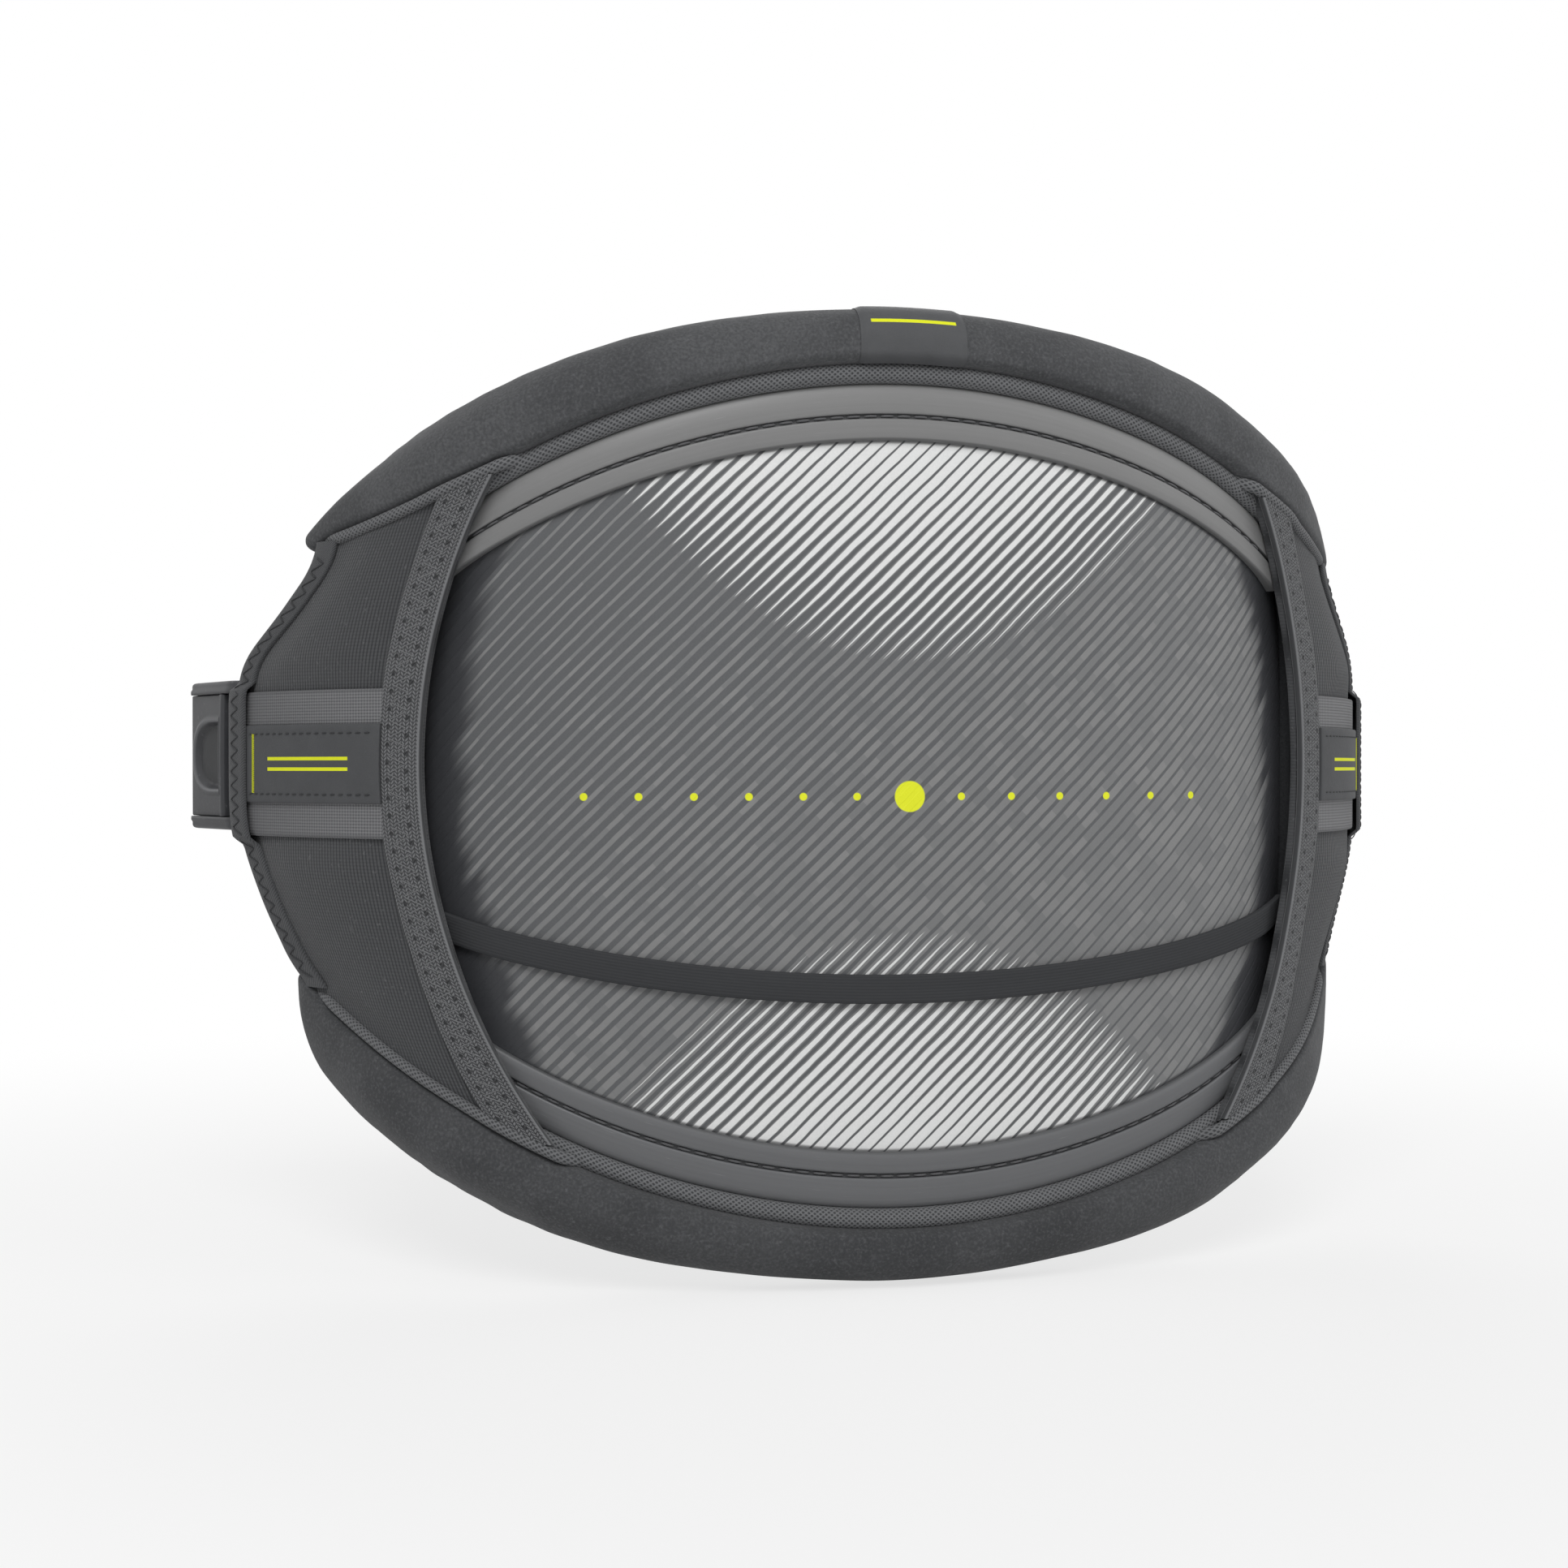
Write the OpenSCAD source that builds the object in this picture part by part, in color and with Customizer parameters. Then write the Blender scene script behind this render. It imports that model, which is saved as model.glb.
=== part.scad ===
// Waist harness with a hard back shell, soft side wings and two cam buckles.
// The back faces -Y and the wearer stands at +Y. The origin is at mid height on the liner, where
// it lies on the wearer's spine.
// Every layer is given by s, the length along the waist curve from the spine, by n, the distance
// out of the shell's face, and by the height z.

/* [Waist curve] */
// Radius of the waist curve across the back
back_radius = 420; // [380:10:520]
// Length along the curve from the spine to where the sides begin to wrap
back_half_len = 70; // [60:1:80]
// Radius of the waist curve round the sides
side_radius = 155; // [145:1:175]

/* [Back shell] */
// Height of the rim's outer edge above and below the middle, at the spine
rim_half_h = 122.5; // [118:0.5:126]
// Radius of the arch that the rims follow
rim_arch_radius = 235; // [225:1:260]
// Height of each rim moulding
rim_w = 17; // [14:0.5:20]
// Thickness that the rim stands out of the shell's face
rim_proud = 2.9; // [2.2:0.1:2.9]
// Length along the curve from the spine to the shell's side edge
shell_half_len = 148; // [144:0.5:149]
// Thickness of the moulded shell
shell_t = 3.6; // [2.6:0.1:4.6]
// How far the middle of the shell bulges outwards
shell_bulge = 3; // [1:0.1:3.5]
// How far the shell's side edges sink under the wings
edge_sink = 2.5; // [2.2:0.1:3]
// Radius of the shell's corners
shell_corner_r = 22; // [16:1:26]

/* [Padding] */
// Depth from the shell's face to the wearer's side
pad_depth = 18.5; // [16:0.5:21]
// Thickness of the inner liner
liner_t = 2.2; // [1.6:0.1:2.6]
// Depth of the wing's inner side at its front edge
front_depth = 8.5; // [8.5:0.1:9.5]

/* [Edge rolls] */
// Diameter of the piping welt between rim and roll
welt_d = 5.6; // [5:0.1:6]
// Height of the top roll's crest above the middle
top_crest_h = 144.5; // [140:0.5:150]
// Radius of the top roll's arch
top_crest_radius = 320; // [300:5:350]
// Length along the curve from the spine to the top roll's end
top_roll_half_len = 192; // [186:0.5:192]
// Depth of the bottom roll's crest below the middle
bottom_crest_h = 144.5; // [140:0.5:150]
// Radius of the bottom roll's arch
bottom_crest_radius = 335; // [310:5:360]
// Length along the curve from the spine to the bottom roll's end
bottom_roll_half_len = 197; // [190:0.5:198]
// How far the rolls stand out of the shell's face
roll_proud = 8; // [6:0.5:10]
// Width of the label patch on the top roll
label_w = 32; // [24:1:40]

/* [Wings] */
// Length along the curve from the spine to the wing's front edge
wing_len = 228; // [225:0.5:230]
// Thickness of the wing's outer cover
cover_t = 2.7; // [2:0.1:3]
// Height of the pocket between the shell's face and the wing cover
pocket_h = 3.3; // [3.2:0.1:3.6]
// Width of the elastic trim tape
tape_w = 14.5; // [12:0.5:16]
// Thickness of the trim tape
tape_t = 2.5; // [1.8:0.1:3]
// Length along the curve from the spine to the trim tape's inner edge, at its widest
tape_reach = 143.5; // [142:0.5:145]
// Height at which the trim tape reaches furthest out
tape_mid_z = 10; // [5:1:14]
// Radius of the trim tape's bow
tape_bow_radius = 155; // [150:1:165]
// Width of the binding round the wing's front edge
binding_w = 12; // [10:0.5:13]
// Thickness of the binding
binding_t = 1.3; // [1:0.1:1.4]
// Thickness of the stiffener board in the wing
board_t = 2.1; // [1.5:0.1:2.4]

/* [Side webbing] */
// Height of the side webbing's centre line
webbing_z = 9.7; // [8:0.1:11]
// Width of the side webbing
webbing_w = 45; // [38:1:46]
// Thickness of the side webbing
webbing_t = 1.6; // [1.2:0.1:2.2]
// Width of the patch sewn over the webbing
patch_w = 24; // [18:1:30]
// Thickness of the patch
patch_t = 1.1; // [0.8:0.1:1.5]
// Width of the bar tack that closes the patch
tack_w = 1.4; // [1:0.1:2]
// Length of the bar tack
tack_len = 18; // [12:1:18]

/* [Leash strap] */
// Width of the strap that the leash slides on
leash_w = 8.6; // [6:0.1:10]
// Thickness of the leash strap
leash_t = 2.2; // [1.6:0.1:2.4]
// Depth of the leash strap below the middle, at the spine
leash_drop = 57; // [50:1:60]
// Radius of the leash strap's sag
leash_sag_radius = 540; // [500:10:700]

/* [Buckle] */
// Height of the buckle's centre
buckle_z = 12.5; // [11:0.1:14]
// Height of the buckle over its two cheeks
buckle_h = 48; // [46:0.5:49]
// Length of the buckle in front of the wing
buckle_len = 41; // [39:0.5:44]
// How far the cheeks stand out
buckle_proud = 7.5; // [7.2:0.1:8.5]
// Thickness of each cheek
cheek_t = 4; // [3:0.1:4.5]
// Thickness of the base plate
base_t = 2.5; // [2:0.1:2.6]
// Thickness of the lever's plate
lever_t = 3.5; // [3:0.1:3.6]
// Length of the thumb dish
dish_len = 20; // [16:0.5:20.5]
// Height of the thumb dish
dish_h = 23; // [18:0.5:26]
// Depth of the thumb dish
dish_depth = 1.5; // [1:0.1:1.8]
// Radius of the hinge pin
pin_r = 1.5; // [1.2:0.05:1.6]
// Running clearance round the pin
pin_gap = 0.05; // [0.03:0.01:0.08]
// Radius of the cam round the pin
cam_r = 3; // [2.7:0.1:3.1]
// Radius of the bar that the anchor strap loops round
bar_r = 2.2; // [1.8:0.1:2.3]
// Wire radius of the torsion spring
wire_r = 0.3; // [0.2:0.02:0.34]
// Turns of the torsion spring
spring_turns = 5; // [3:1:7]

/* [Hidden] */
$fn = 48;

// Clearance between layers that lie on each other
lay = 0.3;
// Half the gap at the seam between a roll and what it is sewn to
seam_gap = 0.4;
degree = 180 / PI;

// ---- The waist curve ----

// Heading of the curve at s, in degrees
function heading(s) = abs(s) <= back_half_len
    ? s / back_radius * degree
    : sign(s) * (back_half_len / back_radius + (abs(s) - back_half_len) / side_radius) * degree;

function side_x(s, t0) = back_radius * sin(t0) + side_radius * (sin(heading(abs(s))) - sin(t0));
function side_y(s, t0) = back_radius * (1 - cos(t0)) + side_radius * (cos(t0) - cos(heading(abs(s))));

// Point of the curve at s, seen from above
function curve(s) = abs(s) <= back_half_len
    ? [back_radius * sin(heading(s)), back_radius * (1 - cos(heading(s)))]
    : [sign(s) * side_x(s, heading(back_half_len)), side_y(s, heading(back_half_len))];
function plan(s) = curve(s) - [0, pad_depth];

// Point at length s, distance n out of the face and height z
function at(s, n, z) = [plan(s).x + n * sin(heading(s)), plan(s).y - n * cos(heading(s)), z];

// Evenly spread values from a to b
function spread(a, b, count) = [for (i = [0 : count]) a + (b - a) * i / count];

// ---- The edges, as heights over s ----

function arch(s, radius) = s * s / (2 * radius);
function rim_z(s) = rim_half_h - arch(s, rim_arch_radius);
welt_band = welt_d + lay;

// The roll's seam follows the rim as far as brow, then runs out over the wing and eases by ease
function seam_z(s, brow, ease) = abs(s) <= brow
    ? rim_z(s) + welt_band
    : rim_z(brow) + welt_band - brow / rim_arch_radius * (abs(s) - brow) + ease * pow(abs(s) - brow, 2) / 2;
top_brow = 110;
top_ease = 0.0044;
bottom_brow = 118;
bottom_ease = 0.0004;
function top_seam(s) = seam_z(s, top_brow, top_ease);
function bottom_seam(s) = -seam_z(s, bottom_brow, bottom_ease);

function top_crest(s) = top_crest_h - arch(s, top_crest_radius);
function bottom_crest(s) = -bottom_crest_h + arch(s, bottom_crest_radius);

// Length s at which a seam reaches the height z, found by halving
function seam_s(z, brow, ease, lo, hi, steps) = steps == 0
    ? (lo + hi) / 2
    : seam_z((lo + hi) / 2, brow, ease) > z
        ? seam_s(z, brow, ease, (lo + hi) / 2, hi, steps - 1)
        : seam_s(z, brow, ease, lo, (lo + hi) / 2, steps - 1);

// The wing's front edge, as [s, z] from each roll's end to the buckle, given as shares of the way
top_end_z = top_seam(top_roll_half_len);
bottom_end_z = bottom_seam(bottom_roll_half_len - lay);
front_high = buckle_z + buckle_h / 2 - cheek_t;
front_low = 0;
function front_line(s0, z0, z1, shares) =
    [for (k = shares) [s0 + (wing_len - s0) * k.x, z0 + (z1 - z0) * k.y]];
front_top = front_line(top_roll_half_len, top_end_z, front_high,
    [[0, 0], [0.06, 0.2], [0.44, 0.52], [0.89, 0.79], [1, 1]]);
front_bottom = front_line(bottom_roll_half_len - lay, bottom_end_z, front_low,
    [[0, 0], [0.34, 0.13], [0.62, 0.38], [0.81, 0.64], [0.97, 0.85], [1, 1]]);
function swapped(pairs) = [for (p = pairs) [p.y, p.x]];
function reversed(list) = [for (i = [len(list) - 1 : -1 : 0]) list[i]];
front_over_z = concat(swapped(front_bottom), reversed(swapped(front_top)));
function front_s(z) = lookup(z, front_over_z);

function wing_top(s) = abs(s) <= top_roll_half_len ? top_seam(s) : lookup(abs(s), front_top);
function wing_bottom(s) = abs(s) <= bottom_roll_half_len - lay
    ? bottom_seam(s)
    : lookup(abs(s), front_bottom);

// The wing's far limit at height z: its front edge, or the seam of a roll
function wing_limit(z) = z > top_end_z
    ? seam_s(z + seam_gap, top_brow, top_ease, 0, top_roll_half_len, 20)
    : z < bottom_end_z
        ? seam_s(seam_gap - z, bottom_brow, bottom_ease, 0, bottom_roll_half_len, 20)
        : front_s(z);

// ---- The layers, as distances out of the face ----

// The shell's face bulges in its middle and sinks at its side edges
sink_start = 112;
function bulge(s, z) = shell_bulge * (1 - pow(z / rim_half_h, 2)) * max(0.1, 1 - pow(s / tape_reach, 2));
function sink(s) = edge_sink * pow(max(0, abs(s) - sink_start) / (shell_half_len - sink_start), 2);
function face_n(s, z) = bulge(s, z) - sink(s);

cover_n = pocket_h + cover_t;
tape_n = cover_n + lay;
taper_start = shell_half_len + 2 * lay;
function inner_n(s) = abs(s) <= taper_start
    ? -pad_depth
    : -pad_depth + (pad_depth - front_depth) * (abs(s) - taper_start) / (wing_len - taper_start);

function tape_s(z) = tape_reach - arch(z - tape_mid_z, tape_bow_radius);

// ---- Solids ----

// Closed solid through rings of points, each ring the same number of points. A folded ring runs out
// along one face and back along the other, and its end caps are strips between the two.
module skin(rings, folded = false) {
    side = len(rings[0]);
    last = len(rings) - 1;
    points = [for (ring = rings) each ring];
    cap = folded
        ? [for (j = [0 : side / 2 - 2]) [j, j + 1, side - 2 - j, side - 1 - j]]
        : [[for (j = [0 : side - 1]) j]];
    faces = [
        each cap,
        for (face = cap) [for (j = reversed(face)) last * side + j],
        for (i = [0 : last - 1]) for (j = [0 : side - 1]) each [
            [i * side + j, (i + 1) * side + j, i * side + (j + 1) % side],
            [i * side + (j + 1) % side, (i + 1) * side + j, (i + 1) * side + (j + 1) % side]
        ]
    ];
    polyhedron(points = points, faces = faces, convexity = 8);
}

// Ring at length s through a section's [n, z] points
function ring_at_s(s, section) = [for (p = section) at(s, p.x, p.y)];

// Ring at height z round a layer from s0 to s1, between the distances n0 and n1
function ring_at_z(z, s0, s1, n0, n1, count) = concat(
    [for (s = spread(s0, s1, count)) at(s, n0, z)],
    [for (s = spread(s1, s0, count)) at(s, n1, z)]);

// Left copy of a right-hand piece
module on_left() {
    mirror([1, 0, 0]) children();
}

// ---- Back shell ----

// The shell plate's edge runs inside the rims and rounds its corners
plate_inset = 3.3;
corner_start = shell_half_len - shell_corner_r;
function corner_cut(s) = abs(s) <= corner_start
    ? 0
    : shell_corner_r - sqrt(max(0, pow(shell_corner_r, 2) - pow(abs(s) - corner_start, 2)));
function plate_z(s) = rim_z(s) - plate_inset - corner_cut(s);

function plate_section(s) = concat(
    [for (z = spread(-plate_z(s), plate_z(s), 8)) [face_n(s, z), z]],
    [for (z = spread(plate_z(s), -plate_z(s), 8)) [face_n(s, z) - shell_t, z]]);

module shell_plate() {
    color("#7d7e80")
        skin([for (s = spread(-shell_half_len, shell_half_len, 37)) ring_at_s(s, plate_section(s))],
            folded = true);
}

// A rim's section as [n, z], with its stitch groove and the lip that wraps the plate's edge
groove_depth = 0.7;
function rim_section(s) = [
    [face_n(s, rim_z(s) - rim_w) + lay, rim_z(s) - rim_w],
    [rim_proud - 0.6, rim_z(s) - rim_w],
    [rim_proud, rim_z(s) - rim_w + 0.8],
    [rim_proud, rim_z(s) - rim_w * 0.62],
    [rim_proud - groove_depth, rim_z(s) - rim_w * 0.6],
    [rim_proud - groove_depth, rim_z(s) - rim_w * 0.56],
    [rim_proud, rim_z(s) - rim_w * 0.54],
    [rim_proud - 0.3, rim_z(s) - 2.4],
    [0.6, rim_z(s)],
    [-shell_t, rim_z(s)],
    [-shell_t, rim_z(s) - plate_inset + lay],
    [face_n(s, rim_z(s) - plate_inset) + lay, rim_z(s) - plate_inset + lay]
];
rim_half_len = 132;

module rim() {
    skin([for (s = spread(-rim_half_len, rim_half_len, 33)) ring_at_s(s, rim_section(s))]);
}

module top_rim() {
    color("#838385") rim();
}

module bottom_rim() {
    color("#696a6c") mirror([0, 0, 1]) rim();
}

// ---- Padding ----

foam_inset = 4;
foam_half_len = shell_half_len - 2;
function lumbar_section(s) = let (h = rim_z(s) - foam_inset - corner_cut(s) * 0.8) [
    [inner_n(s) + liner_t + lay, -h],
    [-edge_sink - shell_t - lay, -h],
    [-edge_sink - shell_t - lay, h],
    [inner_n(s) + liner_t + lay, h]
];

module lumbar_foam() {
    color("#2c2d2f")
        skin([for (s = spread(-foam_half_len, foam_half_len, 24)) ring_at_s(s, lumbar_section(s))]);
}

// The liner stops short of the binding's edge wall at the front
liner_half_len = wing_len - binding_t - lay;
function liner_section(s) = let (
    top = wing_top(abs(s) + binding_t + lay) - seam_gap,
    bottom = wing_bottom(abs(s) + binding_t + lay) + seam_gap) [
    [inner_n(s), bottom],
    [inner_n(s) + liner_t, bottom],
    [inner_n(s) + liner_t, top],
    [inner_n(s), top]
];

module inner_liner() {
    color("#3a3b3d")
        skin([for (s = spread(-liner_half_len, liner_half_len, 56)) ring_at_s(s, liner_section(s))]);
}

// ---- Edge rolls ----

// The roll's dome at s, between its seam and its crest, rounded off towards its end
roll_steps = 10;
roll_end_r = 14;
function end_round(s, half_len) =
    sqrt(max(0.02, 1 - pow(max(0, abs(s) - half_len + roll_end_r) / (roll_end_r + lay), 2)));
function dome(s, base, crest, half_len, grow, a) = let (
    mid = (roll_proud + inner_n(s)) / 2,
    wide = (roll_proud - inner_n(s)) / 2 * (0.75 + 0.25 * end_round(s, half_len)) + grow,
    tall = (crest - base) * end_round(s, half_len) + grow) [
    mid + wide * sign(cos(a)) * pow(abs(cos(a)), 0.8),
    base + tall * pow(sin(a), 0.8)
];

function top_dome(s) = [for (a = spread(0, 180, roll_steps))
    dome(s, top_seam(s) + seam_gap, top_crest(s), top_roll_half_len, 0, a)];
function bottom_dome(s) = [for (a = spread(0, 180, roll_steps))
    dome(s, seam_gap - bottom_seam(s), -bottom_crest(s), bottom_roll_half_len, 0, a)];

module top_roll() {
    color("#4c4d4f")
        skin([for (s = spread(-top_roll_half_len, top_roll_half_len, 42))
            ring_at_s(s, reversed(top_dome(s)))]);
}

module bottom_roll() {
    color("#474849") mirror([0, 0, 1])
        skin([for (s = spread(-bottom_roll_half_len, bottom_roll_half_len, 42))
            ring_at_s(s, reversed(bottom_dome(s)))]);
}

// The welt lies in the crease between rim and roll, from one trim tape to the other
welt_n = 1.4;
top_tape_z = 94;
bottom_tape_z = -101;
function welt_section(s) = [for (a = spread(0, 324, 9))
    [welt_n - welt_d / 2 * cos(a), rim_z(s) + welt_band / 2 + welt_d / 2 * sin(a)]];

module welt(half_len) {
    skin([for (s = spread(-half_len, half_len, 31)) ring_at_s(s, welt_section(s))]);
}

module top_welt() {
    color("#3f4042") welt(tape_s(top_tape_z) - lay);
}

module bottom_welt() {
    color("#3f4042") mirror([0, 0, 1]) welt(tape_s(bottom_tape_z) - lay);
}

// The label is folded over the top roll, from its outer seam to past its crest
label_t = 0.9;
label_sweep = 125;
function label_section(s) = let (base = top_seam(s) + seam_gap) concat(
    [for (a = spread(label_sweep, 4, 8)) dome(s, base, top_crest(s), top_roll_half_len, lay, a)],
    [for (a = spread(4, label_sweep, 8)) dome(s, base, top_crest(s), top_roll_half_len, lay + label_t, a)]);

module top_label() {
    color("#454648")
        skin([for (s = spread(-label_w / 2, label_w / 2, 4)) ring_at_s(s, reversed(label_section(s)))],
            folded = true);
}

// ---- Wings ----

// Heights at which the wing's outline is set out
function halved(list) = concat(
    [for (i = [0 : len(list) - 2]) each [list[i], (list[i] + list[i + 1]) / 2]],
    [list[len(list) - 1]]);
front_zs = halved([for (p = front_over_z) p.x]);
cover_inset = 1;
cover_low = bottom_tape_z - cover_inset;
cover_high = top_tape_z + cover_inset;
wing_zs = concat(
    [for (z = spread(cover_low, bottom_end_z, 6)) if (z < bottom_end_z - lay) z],
    front_zs,
    [for (z = spread(top_end_z, cover_high, 4)) if (z > top_end_z + lay) z]);
function cover_limit(z) = z > top_end_z || z < bottom_end_z
    ? wing_limit(z)
    : wing_limit(z) - binding_t - lay;

module wing_cover() {
    color("#4a4b4d")
        skin([for (z = wing_zs)
            ring_at_z(z, tape_s(z) + cover_inset, cover_limit(z), pocket_h, cover_n, 9)],
            folded = true);
}

// The stiffener board stops short of the buckle's tail, and the foam goes round the tail
foam_start = shell_half_len + 2;
foam_end = wing_len - 14;
board_start = foam_start + 2;
board_end = wing_len - 31;
board_n = pocket_h - lay - board_t;
wing_margin = 6;

module wing_board() {
    color("#1f2022")
        skin([for (s = spread(board_start, board_end, 6)) ring_at_s(s, [
            [board_n, wing_bottom(s) + wing_margin + 2],
            [board_n + board_t, wing_bottom(s) + wing_margin + 2],
            [board_n + board_t, wing_top(s) - wing_margin - 2],
            [board_n, wing_top(s) - wing_margin - 2]])]);
}

// The foam lies under the board, and under the cover in front of it
foam_ss = concat(spread(foam_start, board_end + 0.1, 6), spread(board_end + 0.6, foam_end, 3));
function foam_top(s) = s < board_end + 0.5 ? board_n - lay : pocket_h - lay;

module wing_foam() {
    color("#2c2d2f") difference() {
        skin([for (s = foam_ss) ring_at_s(s, [
            [inner_n(s) + liner_t + lay, wing_bottom(s) + wing_margin],
            [foam_top(s), wing_bottom(s) + wing_margin],
            [foam_top(s), wing_top(s) - wing_margin],
            [inner_n(s) + liner_t + lay, wing_top(s) - wing_margin]])]);
        at_buckle()
            translate([bar_x - leg_reach - 1, -pad_depth, -buckle_h / 2 - 1])
                cube([wing_len, 2 * pad_depth, buckle_h + 2]);
    }
}

// The trim tape's ends are cut along the seams of the rolls
tape_zs = spread(bottom_tape_z, top_tape_z, 18);
tape_gap = 2 * seam_gap;
function tape_z(s, z) = max(bottom_seam(s) + tape_gap, min(top_seam(s) - tape_gap, z));
function tape_row(z, n) = [for (s = spread(tape_s(z), tape_s(z) + tape_w, 3)) at(s, n, tape_z(s, z))];

module trim_tape() {
    color("#58595b")
        skin([for (z = tape_zs) concat(tape_row(z, tape_n), reversed(tape_row(z, tape_n + tape_t)))],
            folded = true);
}

// The binding wraps the wing's front edge; the buckle's tail passes through its window
bind_inset = 1;
bind_zs = halved(concat([bottom_end_z + bind_inset],
    [for (z = front_zs) if (z > bottom_end_z + 2 * bind_inset && z < top_end_z - 2 * bind_inset) z],
    [top_end_z - bind_inset]));
function webbing_lift(z) = abs(z - webbing_z) < webbing_w / 2 + 1 ? webbing_t + patch_t + lay : 0;
function binding_ring(z) = let (
    f = front_s(z),
    back = f - binding_w,
    out = tape_n + binding_t + webbing_lift(z)) [
    at(back, out, z),
    at(f, out - 0.6, z),
    at(f, inner_n(f) - lay - binding_t, z),
    at(back, inner_n(back) - lay - binding_t, z),
    at(back, inner_n(back) - lay, z),
    at(f - binding_t, inner_n(f - binding_t) - lay, z),
    at(f - binding_t, out - binding_t, z),
    at(back, out - binding_t, z)
];

module edge_binding() {
    color("#454648") difference() {
        skin([for (z = bind_zs) reversed(binding_ring(z))], folded = true);
        at_buckle()
            translate([-binding_w * 0.4, tail_low - lay, -buckle_h / 2 - lay])
                cube([binding_w, tail_high - tail_low + 2 * lay, buckle_h + 2 * lay]);
    }
}

// ---- Side webbing ----

webbing_start = tape_reach + tape_w + lay;
webbing_end = wing_len - binding_w - lay;

// Flat band on the wing, wide about the height z
module band(s0, s1, n0, n1, z, wide, count) {
    skin([for (s = spread(s0, s1, count)) ring_at_s(s, [
        [n0, z - wide / 2], [n1, z - wide / 2], [n1, z + wide / 2], [n0, z + wide / 2]])]);
}

patch_n = tape_n + webbing_t + lay;

module side_webbing() {
    color("#7b7b7d")
        band(webbing_start, webbing_end, tape_n, tape_n + webbing_t, webbing_z, webbing_w, 8);
}

module webbing_patch() {
    color("#505153")
        band(webbing_start, webbing_end, patch_n, patch_n + patch_t, webbing_z, patch_w, 8);
}

module bar_tack() {
    color("#e6f032")
        band(webbing_end - 3 - tack_w, webbing_end - 3, patch_n + patch_t + 0.1,
            patch_n + patch_t + 0.6, webbing_z, tack_len, 1);
}

// ---- Leash strap ----

leash_half_len = shell_half_len - 2;
function leash_z(s) = -leash_drop + arch(s, leash_sag_radius);
function leash_section(s) = [
    [face_n(s, leash_z(s)) + lay, leash_z(s) - leash_w / 2],
    [face_n(s, leash_z(s)) + lay + leash_t, leash_z(s) - leash_w / 2 + 0.6],
    [face_n(s, leash_z(s)) + lay + leash_t, leash_z(s) + leash_w / 2 - 0.6],
    [face_n(s, leash_z(s)) + lay, leash_z(s) + leash_w / 2]
];

module leash_strap() {
    color("#444547")
        skin([for (s = spread(-leash_half_len, leash_half_len, 36)) ring_at_s(s, leash_section(s))]);
}

// ---- Buckle ----

// The buckle's own directions: x forwards from the wing, y outwards, z up from its centre
tail_low = -5.4;
tail_high = 1.8;
tail_len = 16;
bar_x = -12;
bar_y = (tail_low + tail_high) / 2;
cheek_in = buckle_h / 2 - cheek_t;
pin_x = buckle_len - 4.5;
pin_y = 2.6;
bridge_t = 2.5;

module at_buckle() {
    translate([plan(wing_len).x, plan(wing_len).y, buckle_z])
        rotate([0, 0, heading(wing_len)])
            mirror([0, 1, 0])
                children();
}

// A cheek seen from above, with its low tail that goes into the wing
module cheek_outline() {
    polygon([[-tail_len, tail_low], [buckle_len - 3, tail_low], [buckle_len, tail_low + 3],
        [buckle_len, buckle_proud - 4], [buckle_len - 3.5, buckle_proud], [5, buckle_proud],
        [1.5, buckle_proud - 1.6], [lay, tail_high], [-tail_len, tail_high]]);
}

module cheek(z0) {
    translate([0, 0, z0]) linear_extrude(cheek_t) cheek_outline();
}

module buckle_frame() {
    color("#565759") at_buckle() difference() {
        union() {
            cheek(cheek_in);
            cheek(-cheek_in - cheek_t);
            translate([0, tail_low, -cheek_in]) cube([buckle_len - 3, base_t, 2 * cheek_in]);
            translate([lay, tail_low, -cheek_in]) cube([bridge_t, tail_high - tail_low, 2 * cheek_in]);
            translate([bar_x, bar_y, -cheek_in]) cylinder(r = bar_r, h = 2 * cheek_in);
        }
        translate([pin_x, pin_y, -buckle_h / 2 - 1]) cylinder(r = pin_r + pin_gap, h = buckle_h + 2);
    }
}

// The lever lies between the cheeks, with a lip at its free end and a cam round the pin
lever_start = 9;
lever_out = buckle_proud - 0.6;
lever_in = lever_out - lever_t;
lip_w = 3.5;
lip_h = 1.3;
lever_gap = 0.4;
lever_half = cheek_in - lever_gap;
spring_room = 5;

module lever_outline() {
    polygon([[lever_start, lever_in], [lever_start, lever_out + lip_h - 0.5],
        [lever_start + 0.5, lever_out + lip_h], [lever_start + lip_w - 1, lever_out + lip_h],
        [lever_start + lip_w, lever_out], [pin_x, lever_out], [pin_x + cam_r * 0.8, lever_out - 1],
        [pin_x + cam_r, pin_y], [pin_x, pin_y], [pin_x - cam_r, pin_y], [pin_x - cam_r - 1, lever_in]]);
}

// The thumb dish is round towards the pin and straight at the lip
module dish() {
    dish_start = lever_start + lip_w + 0.5;
    translate([0, lever_out - dish_depth, 0]) rotate([-90, 0, 0]) linear_extrude(dish_depth + 1)
        intersection() {
            translate([dish_start, -dish_h / 2]) square([dish_len, dish_h]);
            translate([dish_start + dish_len - dish_h / 2 * 1.25, 0]) circle(r = dish_h / 2 * 1.25);
        }
}

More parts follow.
